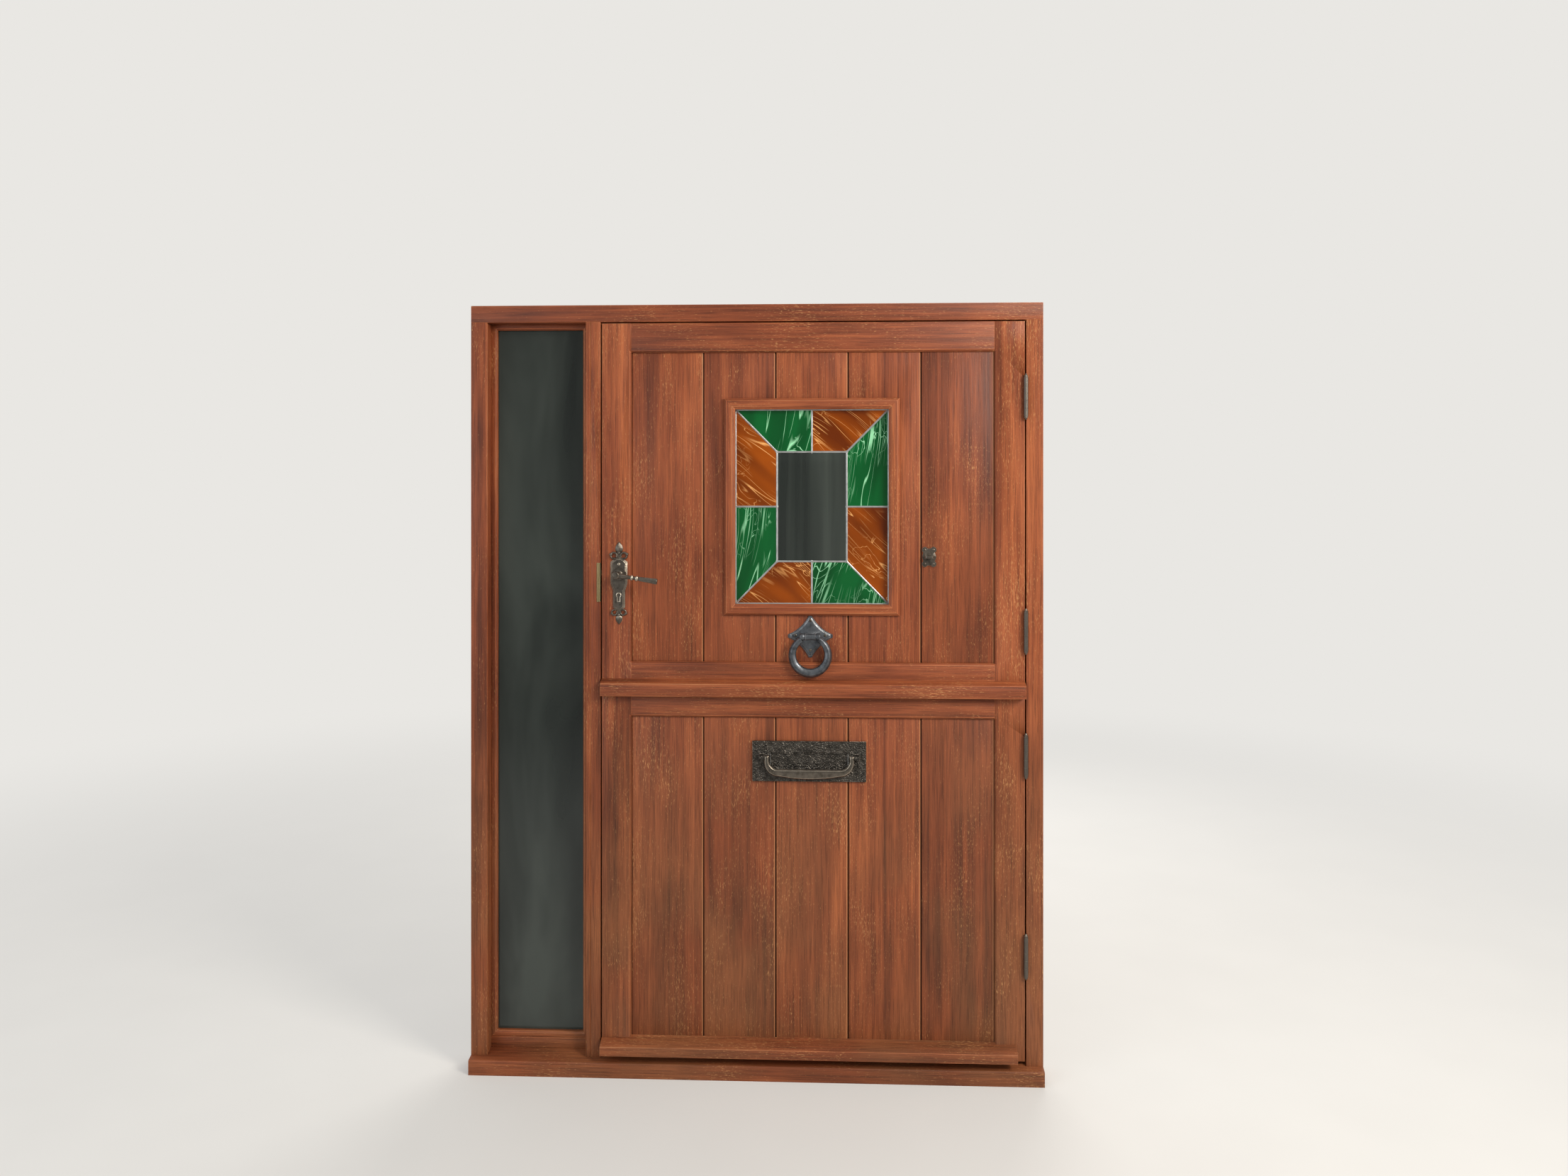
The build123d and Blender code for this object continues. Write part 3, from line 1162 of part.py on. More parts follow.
# Hook eye
def hook_eye():
    """Plate with a lobe at each corner for its screws and a staple bent from bar."""
    outline = Rectangle(EYE_CORE_W, EYE_CORE_H) + RegularPolygon(EYE_DISC_R, ROSE_SIDES)
    x, y = EYE_PLATE_W / 2 - EYE_LOBE_R, EYE_PLATE_H / 2 - EYE_LOBE_R
    for corner in ((x, y), (x, -y), (-x, y), (-x, -y)):
        outline += Pos(*corner) * RegularPolygon(EYE_LOBE_R, ROUND_SIDES)
    plate = extrude(outline, EYE_PLATE_T, dir=(0, 0, 1))
    return facing_out(plate + staple(), LEAF_CX + EYE_X, BOARD_SET, EYE_Z)


def staple():
    """Staple standing on the hook eye's plate, round cornered."""
    outer, inner = (EYE_SPAN + EYE_BAR) / 2, (EYE_SPAN - EYE_BAR) / 2
    side = []
    for half, top, bend in ((outer, EYE_OUT, EYE_BEND_R), (inner, EYE_OUT - EYE_BAR, EYE_BEND_R - EYE_BAR)):
        side.append(make_face([
            FilletPolyline((-half, 1), (-half, top), (half, top), (half, 1), radius=bend),
            Line((half, 1), (-half, 1)),
        ]))
    return Pos(0, EYE_BAR / 2) * Rot(90, 0, 0) * extrude(side[0] - side[1], EYE_BAR, dir=(0, 0, 1))


# Bolts on the inside of the leaves
def inside_rod_y():
    """Depth of a bolt's rod behind the leaf's inner face."""
    return LEAF_T + GUIDE_T + ROD_STAND + ROD_R


def hoop(axis, start, length):
    """Guide hoop round a rod, standing on the leaf's inner face."""
    outer = ROD_R + ROD_FIT + HOOP_WALL
    x, y, z = start
    shape = rod(axis, outer, start, length)
    if axis == "Z":
        shape += box(x - outer, x + outer, LEAF_T, y, z, z + length)
    else:
        shape += box(x, x + length, LEAF_T, y, z - outer, z + outer)
    return shape - bore(axis, ROD_R + ROD_FIT, start, length)


def coupling_x():
    """Place of the coupling bolt across the leaf."""
    return X_LEAF0 + COUPLING_IN


def coupling_guide():
    """Plate with two hoops on the upper leaf's bottom rail."""
    x, y = coupling_x(), inside_rod_y()
    z0 = Z_UPPER0 + COUPLING_EDGE
    guide = box(x - GUIDE_W / 2, x + GUIDE_W / 2, LEAF_T, LEAF_T + GUIDE_T, z0, z0 + COUPLING_GUIDE_H)
    guide += hoop("Z", (x, y, z0), HOOP_T)
    return guide + hoop("Z", (x, y, z0 + COUPLING_GUIDE_H - HOOP_T), HOOP_T)


def coupling_bolt():
    """Rod that ties the two leaves together when it is down; drawn up here."""
    x, y = coupling_x(), inside_rod_y()
    z0 = Z_UPPER0 + COUPLING_EDGE
    bolt = rod("Z", ROD_R, (x, y, z0), COUPLING_ROD_L)
    return bolt + rod("Y", KNOB_R - KNOB_CLEAR, (x, y, z0 + HOOP_T + COUPLING_THROW + KNOB_R), KNOB_L)


def coupling_keep():
    """Keep on the lower leaf's top rail."""
    x, y = coupling_x(), inside_rod_y()
    z1 = Z_LOWER1 - COUPLING_EDGE
    keep = box(x - GUIDE_W / 2, x + GUIDE_W / 2, LEAF_T, LEAF_T + GUIDE_T, z1 - KEEP_H, z1)
    outer = ROD_R + ROD_FIT + HOOP_WALL
    keep += rod("Z", outer, (x, y, z1 - 2 * HOOP_T), 2 * HOOP_T)
    keep += box(x - outer, x + outer, LEAF_T, y, z1 - 2 * HOOP_T, z1)
    return keep - bore("Z", ROD_R + ROD_HOLE_CLEAR, (x, y, z1 - 2 * HOOP_T), 2 * HOOP_T)


def lower_bolt_guide():
    """Plate with two hoops on the lower leaf's lock stile."""
    x0 = X_LEAF0 + LOWER_BOLT_IN + LOWER_GUIDE_GAP
    y = inside_rod_y()
    guide = box(x0, x0 + LOWER_GUIDE_L, LEAF_T, LEAF_T + GUIDE_T,
                LOWER_BOLT_Z - GUIDE_W / 2, LOWER_BOLT_Z + GUIDE_W / 2)
    guide += hoop("X", (x0, y, LOWER_BOLT_Z), HOOP_T)
    return guide + hoop("X", (x0 + LOWER_GUIDE_L - HOOP_T, y, LOWER_BOLT_Z), HOOP_T)


def lower_bolt():
    """Rod that holds the lower leaf shut; drawn back here."""
    x0 = X_LEAF0 + LOWER_BOLT_IN
    y = inside_rod_y()
    bolt = rod("X", ROD_R, (x0, y, LOWER_BOLT_Z), LOWER_ROD_L)
    knob_x = x0 + LOWER_GUIDE_GAP + LOWER_GUIDE_L - HOOP_T - KNOB_R
    return bolt + rod("Y", KNOB_R - KNOB_CLEAR, (knob_x, y, LOWER_BOLT_Z), KNOB_L)


# Assembly
def build():
    """Every sub-part by name."""
    sill = frame_sill()
    upper_flare = opening_flare(Z_UPPER_PANEL0, Z_UPPER_PANEL1)
    lower_flare = opening_flare(Z_LOWER0 + WEATHER_LIFT + WEATHER_FRONT_H, Z_LOWER_PANEL1)
    lock_cut = lock_mortice()
    window = window_box(MOULD_LIP + LINING_T, BOARD_SET, BOARD_BACK)
    slot = letter_slot()
    upper_groove = (Z_UPPER_PANEL0 - GROOVE_D, Z_UPPER_PANEL1 + GROOVE_D)
    lower_groove = (Z_LOWER0, Z_LOWER_PANEL1 + GROOVE_D)
    lower_lock = stile(True, Z_LOWER0, Z_LOWER1, *lower_groove, LOWER_RAILS, lower_flare)
    lower_hinge = stile(False, Z_LOWER0, Z_LOWER1, *lower_groove, LOWER_RAILS, lower_flare)
    upper_lock = stile(True, Z_UPPER0, Z_UPPER1, *upper_groove, UPPER_RAILS, upper_flare)
    upper_hinge = stile(False, Z_UPPER0, Z_UPPER1, *upper_groove, UPPER_RAILS, upper_flare)
    recesses = [hinge_recess(z, X_LEAF1 - HINGE_LET_IN, X_LEAF1) for z in HINGE_HEIGHTS]
    low_hinges = [z for z in HINGE_HEIGHTS if z < Z_LOWER1]
    high_hinges = [z for z in HINGE_HEIGHTS if z > Z_UPPER0]
    weather = weatherboard([lower_lock, lower_hinge])
    plate = facing_out(lever_plate(), LEVER_X, 0, LEVER_Z)
    outer_lever = facing_out(lever(-LEVER_DROOP), LEVER_X, 0, LEVER_Z)
    inner_lever = Pos(LEVER_X, LEAF_T, LEVER_Z) * Rot(-90, 0, 0) * lever(LEVER_DROOP)
    parts = {
        "frame_sill": sill,
        "frame_head": frame_head(),
        "frame_jamb_left": frame_jamb_left(sill),
        "frame_jamb_right": frame_jamb_right(sill),
        "frame_mullion": frame_mullion(sill),
        "strike_plate": strike_plate(),
        "sidelight_bottom_rail": sidelight_bottom_rail(),
        "sidelight_beads": sidelight_beads(),
        "sidelight_panes": sidelight_panes(),
        "sidelight_spacer": sidelight_spacer(),
        "hinge_frame_leaves": group([hinge_leaf(z, True) for z in HINGE_HEIGHTS]),
        "hinge_pins": group([hinge_pin(z) for z in HINGE_HEIGHTS]),
        "upper_hinge_leaves": group([hinge_leaf(z, False) for z in high_hinges]),
        "lower_hinge_leaves": group([hinge_leaf(z, False) for z in low_hinges]),
        "upper_lock_stile": upper_lock - lock_cut,
        "upper_hinge_stile": upper_hinge - recesses,
        "upper_top_rail": rail(Z_UPPER_PANEL1, Z_UPPER1, 0, RAIL_TENON_Y,
                               (Z_UPPER_PANEL1, Z_UPPER_PANEL1 + GROOVE_D), upper_flare),
        "upper_bottom_rail": rail(Z_UPPER0, Z_UPPER_PANEL0, 0, RAIL_TENON_Y,
                                  (Z_UPPER_PANEL0 - GROOVE_D, Z_UPPER_PANEL0), upper_flare),
        "drip_bar": drip_bar(),
        "window_moulding": window_moulding(),
        "window_lining": window_lining(),
        "window_inner_bead": window_inner_bead(),
        "glass_centre": pane(0),
        "glass_green": group([pane(i) for i in (1, 3, 5, 7)]),
        "glass_amber": group([pane(i) for i in (2, 4, 6, 8)]),
        "lead_cames": lead_cames(),
        "lock_case": lock_case(),
        "lever_plates": group([plate, inside_twin(plate)]),
        "levers": group([outer_lever, inner_lever]),
        "spindle": spindle(),
        "latch_bolt": latch_bolt(),
        "dead_bolt": dead_bolt(),
        "knocker_plate": facing_out(knocker_plate(), LEAF_CX + KNOCKER_X, BOARD_SET, KNOCKER_Z),
        "knocker_ring": facing_out(knocker_ring(), LEAF_CX + KNOCKER_X, BOARD_SET, KNOCKER_Z),
        "hook_eye": hook_eye(),
        "coupling_guide": coupling_guide(),
        "coupling_bolt": coupling_bolt(),
        "coupling_keep": coupling_keep(),
        "lower_lock_stile": lower_lock,
        "lower_hinge_stile": lower_hinge - recesses,
        "lower_top_rail": rail(Z_LOWER_PANEL1, Z_LOWER1, 0, RAIL_TENON_Y,
                               (Z_LOWER_PANEL1, Z_LOWER_PANEL1 + GROOVE_D), lower_flare),
        "lower_ledge": rail(Z_LOWER0, Z_LOWER0 + LEDGE_H, BOARD_BACK, LEDGE_TENON_Y, None, lower_flare),
        "weatherboard": weather,
        "letter_plate": letter_plate(),
        "letter_flap": letter_flap(),
        "letter_bow": letter_bow(),
        "lower_bolt_guide": lower_bolt_guide(),
        "lower_bolt": lower_bolt(),
    }
    for i in range(BOARD_COUNT):
        parts[f"upper_board_{i + 1}"] = upper_board(i, window)
        parts[f"lower_board_{i + 1}"] = lower_board(i, slot)
    return parts


os.makedirs("parts", exist_ok=True)
for name, shape in build().items():
    export_step(shape, f"parts/{name}.step")
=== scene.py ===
"""Dutch stable door in its frame: stained hardwood, black iron, leaded light, fixings and studio."""

import json
import math

import bmesh
import bpy
from mathutils import Matrix, Vector, noise

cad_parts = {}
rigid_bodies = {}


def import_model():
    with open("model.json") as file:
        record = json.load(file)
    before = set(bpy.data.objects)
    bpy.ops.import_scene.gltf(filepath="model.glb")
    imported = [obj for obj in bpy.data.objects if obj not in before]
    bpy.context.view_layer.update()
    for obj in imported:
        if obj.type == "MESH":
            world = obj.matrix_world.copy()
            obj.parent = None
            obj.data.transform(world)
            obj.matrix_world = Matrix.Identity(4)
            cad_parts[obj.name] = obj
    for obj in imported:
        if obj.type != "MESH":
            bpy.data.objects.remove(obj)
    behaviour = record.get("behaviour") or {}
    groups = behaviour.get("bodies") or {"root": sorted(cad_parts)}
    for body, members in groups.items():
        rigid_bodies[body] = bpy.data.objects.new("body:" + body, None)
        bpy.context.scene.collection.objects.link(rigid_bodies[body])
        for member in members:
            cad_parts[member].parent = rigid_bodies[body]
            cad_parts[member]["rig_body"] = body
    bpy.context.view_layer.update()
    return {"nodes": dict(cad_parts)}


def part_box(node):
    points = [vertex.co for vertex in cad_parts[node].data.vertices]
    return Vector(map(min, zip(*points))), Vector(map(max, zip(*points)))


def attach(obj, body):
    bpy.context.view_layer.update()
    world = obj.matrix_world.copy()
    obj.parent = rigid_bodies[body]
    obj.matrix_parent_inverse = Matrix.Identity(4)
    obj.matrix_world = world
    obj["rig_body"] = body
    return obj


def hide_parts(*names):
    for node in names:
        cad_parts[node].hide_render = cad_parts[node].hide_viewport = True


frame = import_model()

bl_info = {
    "name": "Dutch Stable Door",
    "version": (1, 0, 0),
    "blender": (4, 5, 0),
    "location": "3D View > Sidebar > Stable Door",
    "description": "Dresses a two-leaf stable door with wood, iron, leaded glass and its fixings",
    "category": "Object",
}

MM = 0.001
LEAF_BACK = 0.054
LEVER_AXIS = Vector((-0.3675, 0.0, 1.35703))
KNOCKER_AXIS = Vector((0.1515, -0.013, 1.19103))
BOW_AXIS = Vector((0.1485, -0.0055, 0.86463))
# A piece drawn with w towards the eye is turned to the street, or mirrored to face the room.
FACING_OUT = Matrix(((1, 0, 0, 0), (0, 0, -1, 0), (0, 1, 0, 0), (0, 0, 0, 1)))
FACING_IN = Matrix(((1, 0, 0, 0), (0, 0, 1, 0), (0, 1, 0, 0), (0, 0, 0, 1)))
OUT = Vector((0, -1, 0))
BOARD_FACE = 0.009
PANEL_LEFT = -0.3345
BOARD_PITCH = 0.196
# Height of each hinge and the leaf that it carries.
HINGE_PLACES = ((0.33943, "lower_leaf"), (0.87503, "lower_leaf"), (1.20743, "upper_leaf"),
                (1.83483, "upper_leaf"))
# Where the screw heads lie on the hinges' plates, on the jamb and on the leaf.
JAMB_EDGE = 0.728
LEAF_EDGE = 0.727

# From the middle of a board joint: where the painted highlight on the edge at its left, and the painted
# shade down in the groove on both sides, begin and where they are full.
JOINT_HIGHLIGHT = (4.6 * MM, 3.4 * MM)
JOINT_GROOVE_SHADE = (2.6 * MM, 1.2 * MM)

# Points nearer than this are one point, and edges sharper than this angle are arrises.
MERGE = 1e-6
ARRIS_ANGLE = math.radians(32)
# Shorter edges of the timber, such as the rims of holes, stay sharp.
SHORTEST_ARRIS = 5 * MM
# A mitre's normal has more than this share in x and in z; a face towards the street has less than this in y.
MITRE_LEAN = 0.6
STREETWARD = -0.95

# Grains of the moulding sand, drawn coarser than real ones of under half a millimetre, to show.
GRIT = 1.4 * MM
COARSE_GRIT = 1.8 * MM

UPRIGHT_NODES = ["frame_jamb_left", "frame_jamb_right", "frame_mullion", "upper_lock_stile",
                 "upper_hinge_stile", "lower_lock_stile", "lower_hinge_stile"]
LEVEL_NODES = ["frame_head", "upper_top_rail", "upper_bottom_rail", "lower_top_rail", "lower_ledge",
               "drip_bar", "weatherboard", "sidelight_bottom_rail", "frame_sill"]
TRIM_NODES = ["window_moulding", "window_lining", "window_inner_bead", "sidelight_beads"]
BOARD_NODES = [f"{leaf}_board_{i}" for leaf in ("upper", "lower") for i in range(1, 6)]

UPRIGHT = "stained sapele, upright grain"
LEVEL = "stained sapele, level grain"
# The timber's rounded edges take this paler finish: rubbed wear and a painted highlight together.
WORN_AND_HIGHLIT = ", rubbed arris"
BLACK = "black lacquered cast iron"
RUBBED = "rubbed cast iron"
PEWTER = "pewter finished cast iron"
RUBBED_PEWTER = "rubbed pewter iron"
STEEL = "dull rolled steel"


def linear(code):
    """Linear RGB of an sRGB hex colour."""
    channels = [int(code[i:i + 2], 16) / 255 for i in (1, 3, 5)]
    return [c / 12.92 if c <= 0.04045 else ((c + 0.055) / 1.055) ** 2.4 for c in channels]


def colour(name, code, description):
    """A colour property with its default as an sRGB hex value."""
    return bpy.props.FloatVectorProperty(name=name, description=description, subtype="COLOR", size=3,
                                         min=0.0, max=1.0, default=linear(code))


def length(name, millimetres, description):
    """A length property with its default in millimetres."""
    return bpy.props.FloatProperty(name=name, description=description, subtype="DISTANCE", unit="LENGTH",
                                   min=0.0, default=millimetres * MM)


class WoodSettings(bpy.types.PropertyGroup):
    """Colours and grain of the stained hardwood; pores and fibres are drawn wider than real ones, to show."""
    dark: colour("Late wood", "#5B2D1B", "Darkest bands of the grain")
    middle: colour("Body", "#854326", "Main colour of the stain")
    light: colour("Early wood", "#A95D35", "Palest bands of the grain")
    brown: colour("Weathered", "#7C5637", "Wood low on the door, browned by rain")
    # Also laid down in the grooves of the board joints, as painted shade.
    pore: colour("Pores", "#2C140C", "Stain held in the open pores and the joints")
    fleck: colour("Flecks", "#D9A268", "Dry fibres that have lost their stain")
    # Rubbed edges, partly wear and partly painted highlight; also the painted highlight left of each board
    # joint.
    arris: colour("Arris", "#C58A5E", "Rubbed edges")
    pore_width: length("Pore width", 1.5, "Width of a pore as drawn")
    pore_length: length("Pore length", 85.0, "Length of a pore as drawn")
    fleck_width: length("Fleck width", 1.7, "Width of a dry fibre as drawn")
    fleck_length: length("Fleck length", 11.0, "Length of a dry fibre as drawn")
    figure_width: length("Figure width", 9.0, "Spacing of the growth bands")
    ribbon_width: length("Ribbon width", 34.0, "Spacing of the stripes of interlocked grain")
    ease: length("Eased edge", 1.0, "Rounding of the arrises")


class IronSettings(bpy.types.PropertyGroup):
    """Colours of the ironmongery."""
    black: colour("Black iron", "#6B645B", "Antique black of the lever set")
    rubbed: colour("Rubbed edge", "#C4B8A6", "Edges worn bright by hands")
    grey: colour("Pewter iron", "#63676C", "Grey of the knocker")
    grey_rubbed: colour("Rubbed pewter", "#A3A7AA", "Worn edges of the knocker")
    hammered: colour("Hammered iron", "#48443F", "Black of the letter plate")
    hinge: colour("Hinge steel", "#7A736B", "Dull steel of the hinges")
    brass: colour("Brass", "#E8CF98", "Pale brass of the strike")
    lead: colour("Lead", "#BDBFBF", "Bright lead of the cames")
    dent: length("Dent", 7.0, "Width of one hammer dent")
    dent_depth: length("Dent depth", 1.4, "Depth of one hammer dent")
    pit: length("Pit", 3.6, "Width of the small pits between the dents")


class GlassSettings(bpy.types.PropertyGroup):
    """Colours of the glass."""
    green: colour("Green", "#0B5E2B", "Body of the green glass")
    green_deep: colour("Deep green", "#053A18", "Deep parts of the green glass")
    green_streak: colour("Green streak", "#A8F0BC", "Wisps in the green glass")
    amber: colour("Amber", "#9C4A0A", "Body of the amber glass")
    amber_deep: colour("Deep amber", "#642804", "Deep parts of the amber glass")
    amber_streak: colour("Amber streak", "#F4B36A", "Wisps in the amber glass")
    # The clear panes' tones are painted shade: the unlit room seen through them.
    clear: colour("Clear", "#434944", "Palest tone of the clear panes before a dark room")
    clear_deep: colour("Deep clear", "#282D2A", "Deepest tone of the clear panes")
    streak: length("Streak spacing", 27.0, "Distance between the wisps")
    streak_length: length("Streak length", 420.0, "Length over which a wisp runs straight")


class ScrewSettings(bpy.types.PropertyGroup):
    """Sizes of the slotted screws."""
    slot: bpy.props.FloatProperty(name="Slot", description="Width of the driver slot over the head's radius",
                                  default=0.3, min=0.05, max=0.8)
    dome: bpy.props.FloatProperty(name="Dome", description="Height of a head over its radius",
                                  default=0.42, min=0.1, max=1.0)
    seed: bpy.props.IntProperty(name="Seed", description="Seed of the slots' turns", default=7)


class StageSettings(bpy.types.PropertyGroup):
    """Camera and studio."""
    distance: length("Distance", 3249.0, "Camera to the frame's outer face")
    height: length("Height", 1607.0, "Camera above the sill's underside")
    offset: length("Offset", 222.5, "Camera to the right of the frame's middle")
    lens: bpy.props.FloatProperty(name="Lens", description="Focal length", default=27.67, unit="CAMERA")
    yaw: bpy.props.FloatProperty(name="Yaw", description="Turn to the left", subtype="ANGLE",
                                 default=math.radians(2.5))
    shift: bpy.props.FloatProperty(name="Shift", description="Vertical shift", default=-0.0676)
    floor: colour("Floor", "#DCD9D3", "Pale studio floor")
    backdrop: colour("Backdrop", "#E9E7E3", "Pale backdrop behind the door")


def feed(tree, node, inputs):
    """Give sockets values or links: a list fills them in order, and a node stands for its first output."""
    for key, value in (inputs.items() if isinstance(inputs, dict) else enumerate(inputs)):
        socket = next((s for s in node.inputs if s.identifier == key), None) or node.inputs[key]
        if isinstance(value, bpy.types.Node):
            value = value.outputs[0]
        if isinstance(value, bpy.types.NodeSocket):
            tree.links.new(value, socket)
        else:
            socket.default_value = value


def add(tree, kind, inputs=(), stops=(), **settings):
    """Add a node with its settings, its inputs and, on a colour ramp, its stops."""
    node = tree.nodes.new(kind)
    for name, value in settings.items():
        setattr(node, name, value)
    feed(tree, node, inputs)
    if stops:
        ramp = node.color_ramp.elements
        while len(ramp) < len(stops):
            ramp.new(0.5)
        for element, (at, tone) in zip(ramp, stops):
            element.position = at
            element.color = (*tone, 1.0)
    return node


def start_material(name, values):
    """New material, its tree, its shader with plain values, and object coordinates."""
    material = bpy.data.materials.new(name)
    material.use_nodes = True
    tree = material.node_tree
    shader = tree.nodes["Principled BSDF"]
    feed(tree, shader, values)
    return material, tree, shader, add(tree, "ShaderNodeTexCoord").outputs["Object"]


def ripple(tree, place, scale, detail, strength, depth):
    """Noise of that scale felt as relief of that depth."""
    noise_field = add(tree, "ShaderNodeTexNoise", {"Vector": place, "Scale": scale, "Detail": detail})
    return add(tree, "ShaderNodeBump", {"Height": noise_field, "Strength": strength, "Distance": depth})


def stained_hardwood(name, grain, seed, worn=False, pitch=0.0):
    """Sapele, planed, stained red-brown and weathered: satin, straight grained, with dry pale fibres."""
    wood = bpy.context.scene.door_wood
    material, tree, shader, place = start_material(name, {"Specular IOR Level": 0.3})
    apart = add(tree, "ShaderNodeSeparateXYZ", [place])
    chance = edge = None
    if pitch:
        count = add(tree, "ShaderNodeMath", [apart.outputs["X"], PANEL_LEFT], operation="SUBTRACT")
        count = add(tree, "ShaderNodeMath", [count, pitch], operation="DIVIDE")
        edge = add(tree, "ShaderNodeMath", [count], operation="FRACT")
        count = add(tree, "ShaderNodeMath", [count], operation="FLOOR")
        chance = add(tree, "ShaderNodeTexWhiteNoise", {"W": count}, noise_dimensions="1D")
        move = add(tree, "ShaderNodeVectorMath", {0: chance.outputs["Color"], "Scale": 3.0},
                   operation="SCALE")
        place = add(tree, "ShaderNodeVectorMath", [place, move], operation="ADD")
    fields = {}
    for label, across, along, detail, rough, distort in (
            ("tone", 0.16, 1.1, 2.0, 0.5, 0.3), ("figure", wood.figure_width, 0.9, 4.0, 0.6, 0.15),
            ("ribbon", wood.ribbon_width, 0.28, 1.5, 0.5, 0.4),
            ("pores", wood.pore_width, wood.pore_length, 3.0, 0.6, 0.0),
            ("flecks", wood.fleck_width, wood.fleck_length, 2.5, 0.6, 0.0),
            ("stain", 0.3, 0.45, 2.5, 0.55, 0.4), ("drift", 0.09, 0.22, 1.0, 0.5, 0.2)):
        scale = [1 / across] * 3
        scale["XYZ".index(grain)] = 1 / along
        mapped = add(tree, "ShaderNodeMapping", {"Vector": place, "Scale": scale,
                                                 "Location": (seed, seed * 2.3, seed * 0.7)})
        fields[label] = add(tree, "ShaderNodeTexNoise", {
            "Vector": mapped, "Scale": 1.0, "Detail": detail, "Roughness": rough, "Distortion": distort})
    level = fields["tone"]
    for label, share in (("figure", 0.5), ("ribbon", 0.3)):
        level = add(tree, "ShaderNodeMix", {"Factor_Float": share, "A_Float": level,
                                            "B_Float": fields[label]}, data_type="FLOAT")
    if chance:
        shifted = add(tree, "ShaderNodeMapRange", [chance, 0.0, 1.0, -0.04, 0.04])
        level = add(tree, "ShaderNodeMath", [level, shifted], operation="ADD")
    # The paler tones of the rounded edges are partly rubbed wear and partly a painted highlight.
    if worn:
        stops = [(0.36, wood.middle), (0.5, wood.light), (0.66, wood.arris)]
    else:
        stops = [(0.36, wood.dark), (0.5, wood.middle), (0.64, wood.light)]
    tone = add(tree, "ShaderNodeValToRGB", [level], stops)
    low = add(tree, "ShaderNodeMapRange", [apart.outputs["Z"], 1.15, 0.35, 0.0, 0.42])
    stain = add(tree, "ShaderNodeMapRange", [fields["stain"], 0.38, 0.62, 0.35, 1.4])
    browned = add(tree, "ShaderNodeMath", [low, stain], operation="MULTIPLY")
    gather = add(tree, "ShaderNodeMath", [fields["drift"], 0.35, fields["flecks"]], operation="MULTIPLY_ADD")
    layers = [
        (browned, wood.brown),
        (add(tree, "ShaderNodeMapRange", [fields["stain"], 0.52, 0.7, 0.0, 0.3]), wood.light),
        (add(tree, "ShaderNodeMapRange", [fields["pores"], 0.52, 0.34, 0.0, 0.5]), wood.pore),
        (add(tree, "ShaderNodeMapRange", [gather, 0.8, 0.94, 0.0, 0.55]), wood.fleck),
    ]
    if edge:
        # Painted highlight on the edge left of each joint, as if lit from the right; painted shade down in
        # the groove.
        near = add(tree, "ShaderNodeMath", [edge, 0.5], operation="PINGPONG")
        arris = [edge, *(1 - distance / pitch for distance in JOINT_HIGHLIGHT), 0.0, 0.55]
        groove_shade = [near, *(distance / pitch for distance in JOINT_GROOVE_SHADE), 0.0, 0.9]
        layers += [(add(tree, "ShaderNodeMapRange", arris), wood.arris),
                   (add(tree, "ShaderNodeMapRange", groove_shade), wood.pore)]
    for amount, over in layers:
        tone = add(tree, "ShaderNodeMix", {"Factor_Float": amount, "A_Color": tone,
                                           "B_Color": (*over, 1.0)}, data_type="RGBA").outputs[2]
    gloss = add(tree, "ShaderNodeMapRange", [fields["ribbon"], 0.0, 1.0, 0.36, 0.6])
    relief = add(tree, "ShaderNodeMath", [fields["pores"], fields["figure"]], operation="ADD")
    bump = add(tree, "ShaderNodeBump", {"Height": relief, "Strength": 0.5, "Distance": 0.9 * MM})
    feed(tree, shader, {"Base Color": tone, "Roughness": gloss, "Normal": bump})
    return material


def cast_iron(name, tone, rough, grit, wear=0.25, pit=0.0):
    """Cast iron under a thin lacquer: grainy skin, cloudy tone, dull in its hollows."""
    material, tree, shader, place = start_material(name, {"Metallic": 0.9})
    cloud = add(tree, "ShaderNodeTexNoise", {"Vector": place, "Scale": 70.0, "Detail": 5.0, "Roughness": 0.6})
    dark = [c * (1 - 2 * wear) for c in tone]
    pale = [min(1.0, c * (1 + 1.6 * wear)) for c in tone]
    body = add(tree, "ShaderNodeValToRGB", [cloud], [(0.33, dark), (0.5, tone), (0.68, pale)])
    gloss = add(tree, "ShaderNodeMapRange", [cloud, 0.3, 0.7, rough + 0.1, rough - 0.08])
    bump = ripple(tree, place, 1 / grit, 3.0, 0.4, 0.6 * MM)
    if pit:
        warp = add(tree, "ShaderNodeTexNoise", {"Vector": place, "Scale": 0.3 / pit, "Detail": 1.0})
        moved = add(tree, "ShaderNodeVectorMath", {0: warp.outputs["Color"], "Scale": 2 * pit},
                    operation="SCALE")
        joined = add(tree, "ShaderNodeVectorMath", [place, moved], operation="ADD")
        pits = add(tree, "ShaderNodeTexVoronoi", {"Vector": joined, "Scale": 1 / pit})
        bump = add(tree, "ShaderNodeBump", {"Height": pits, "Strength": 1.0, "Distance": 0.55 * pit,
                                            "Normal": bump})
    feed(tree, shader, {"Base Color": body, "Roughness": gloss, "Normal": bump})
    return material


def rolled_metal(name, tone, rough):
    """Rolled or drawn metal: fine lines along its length and a slightly uneven sheen."""
    material, tree, shader, place = start_material(name, {"Metallic": 1.0})
    mapped = add(tree, "ShaderNodeMapping", {"Vector": place, "Scale": (900.0, 900.0, 30.0)})
    lines = add(tree, "ShaderNodeTexNoise", {"Vector": mapped, "Scale": 1.0, "Detail": 2.0})
    body = add(tree, "ShaderNodeValToRGB", [lines], [(0.25, [c * 0.72 for c in tone]), (0.75, tone)])
    gloss = add(tree, "ShaderNodeMapRange", [lines, 0.0, 1.0, rough - 0.08, rough + 0.12])
    feed(tree, shader, {"Base Color": body, "Roughness": gloss})
    return material


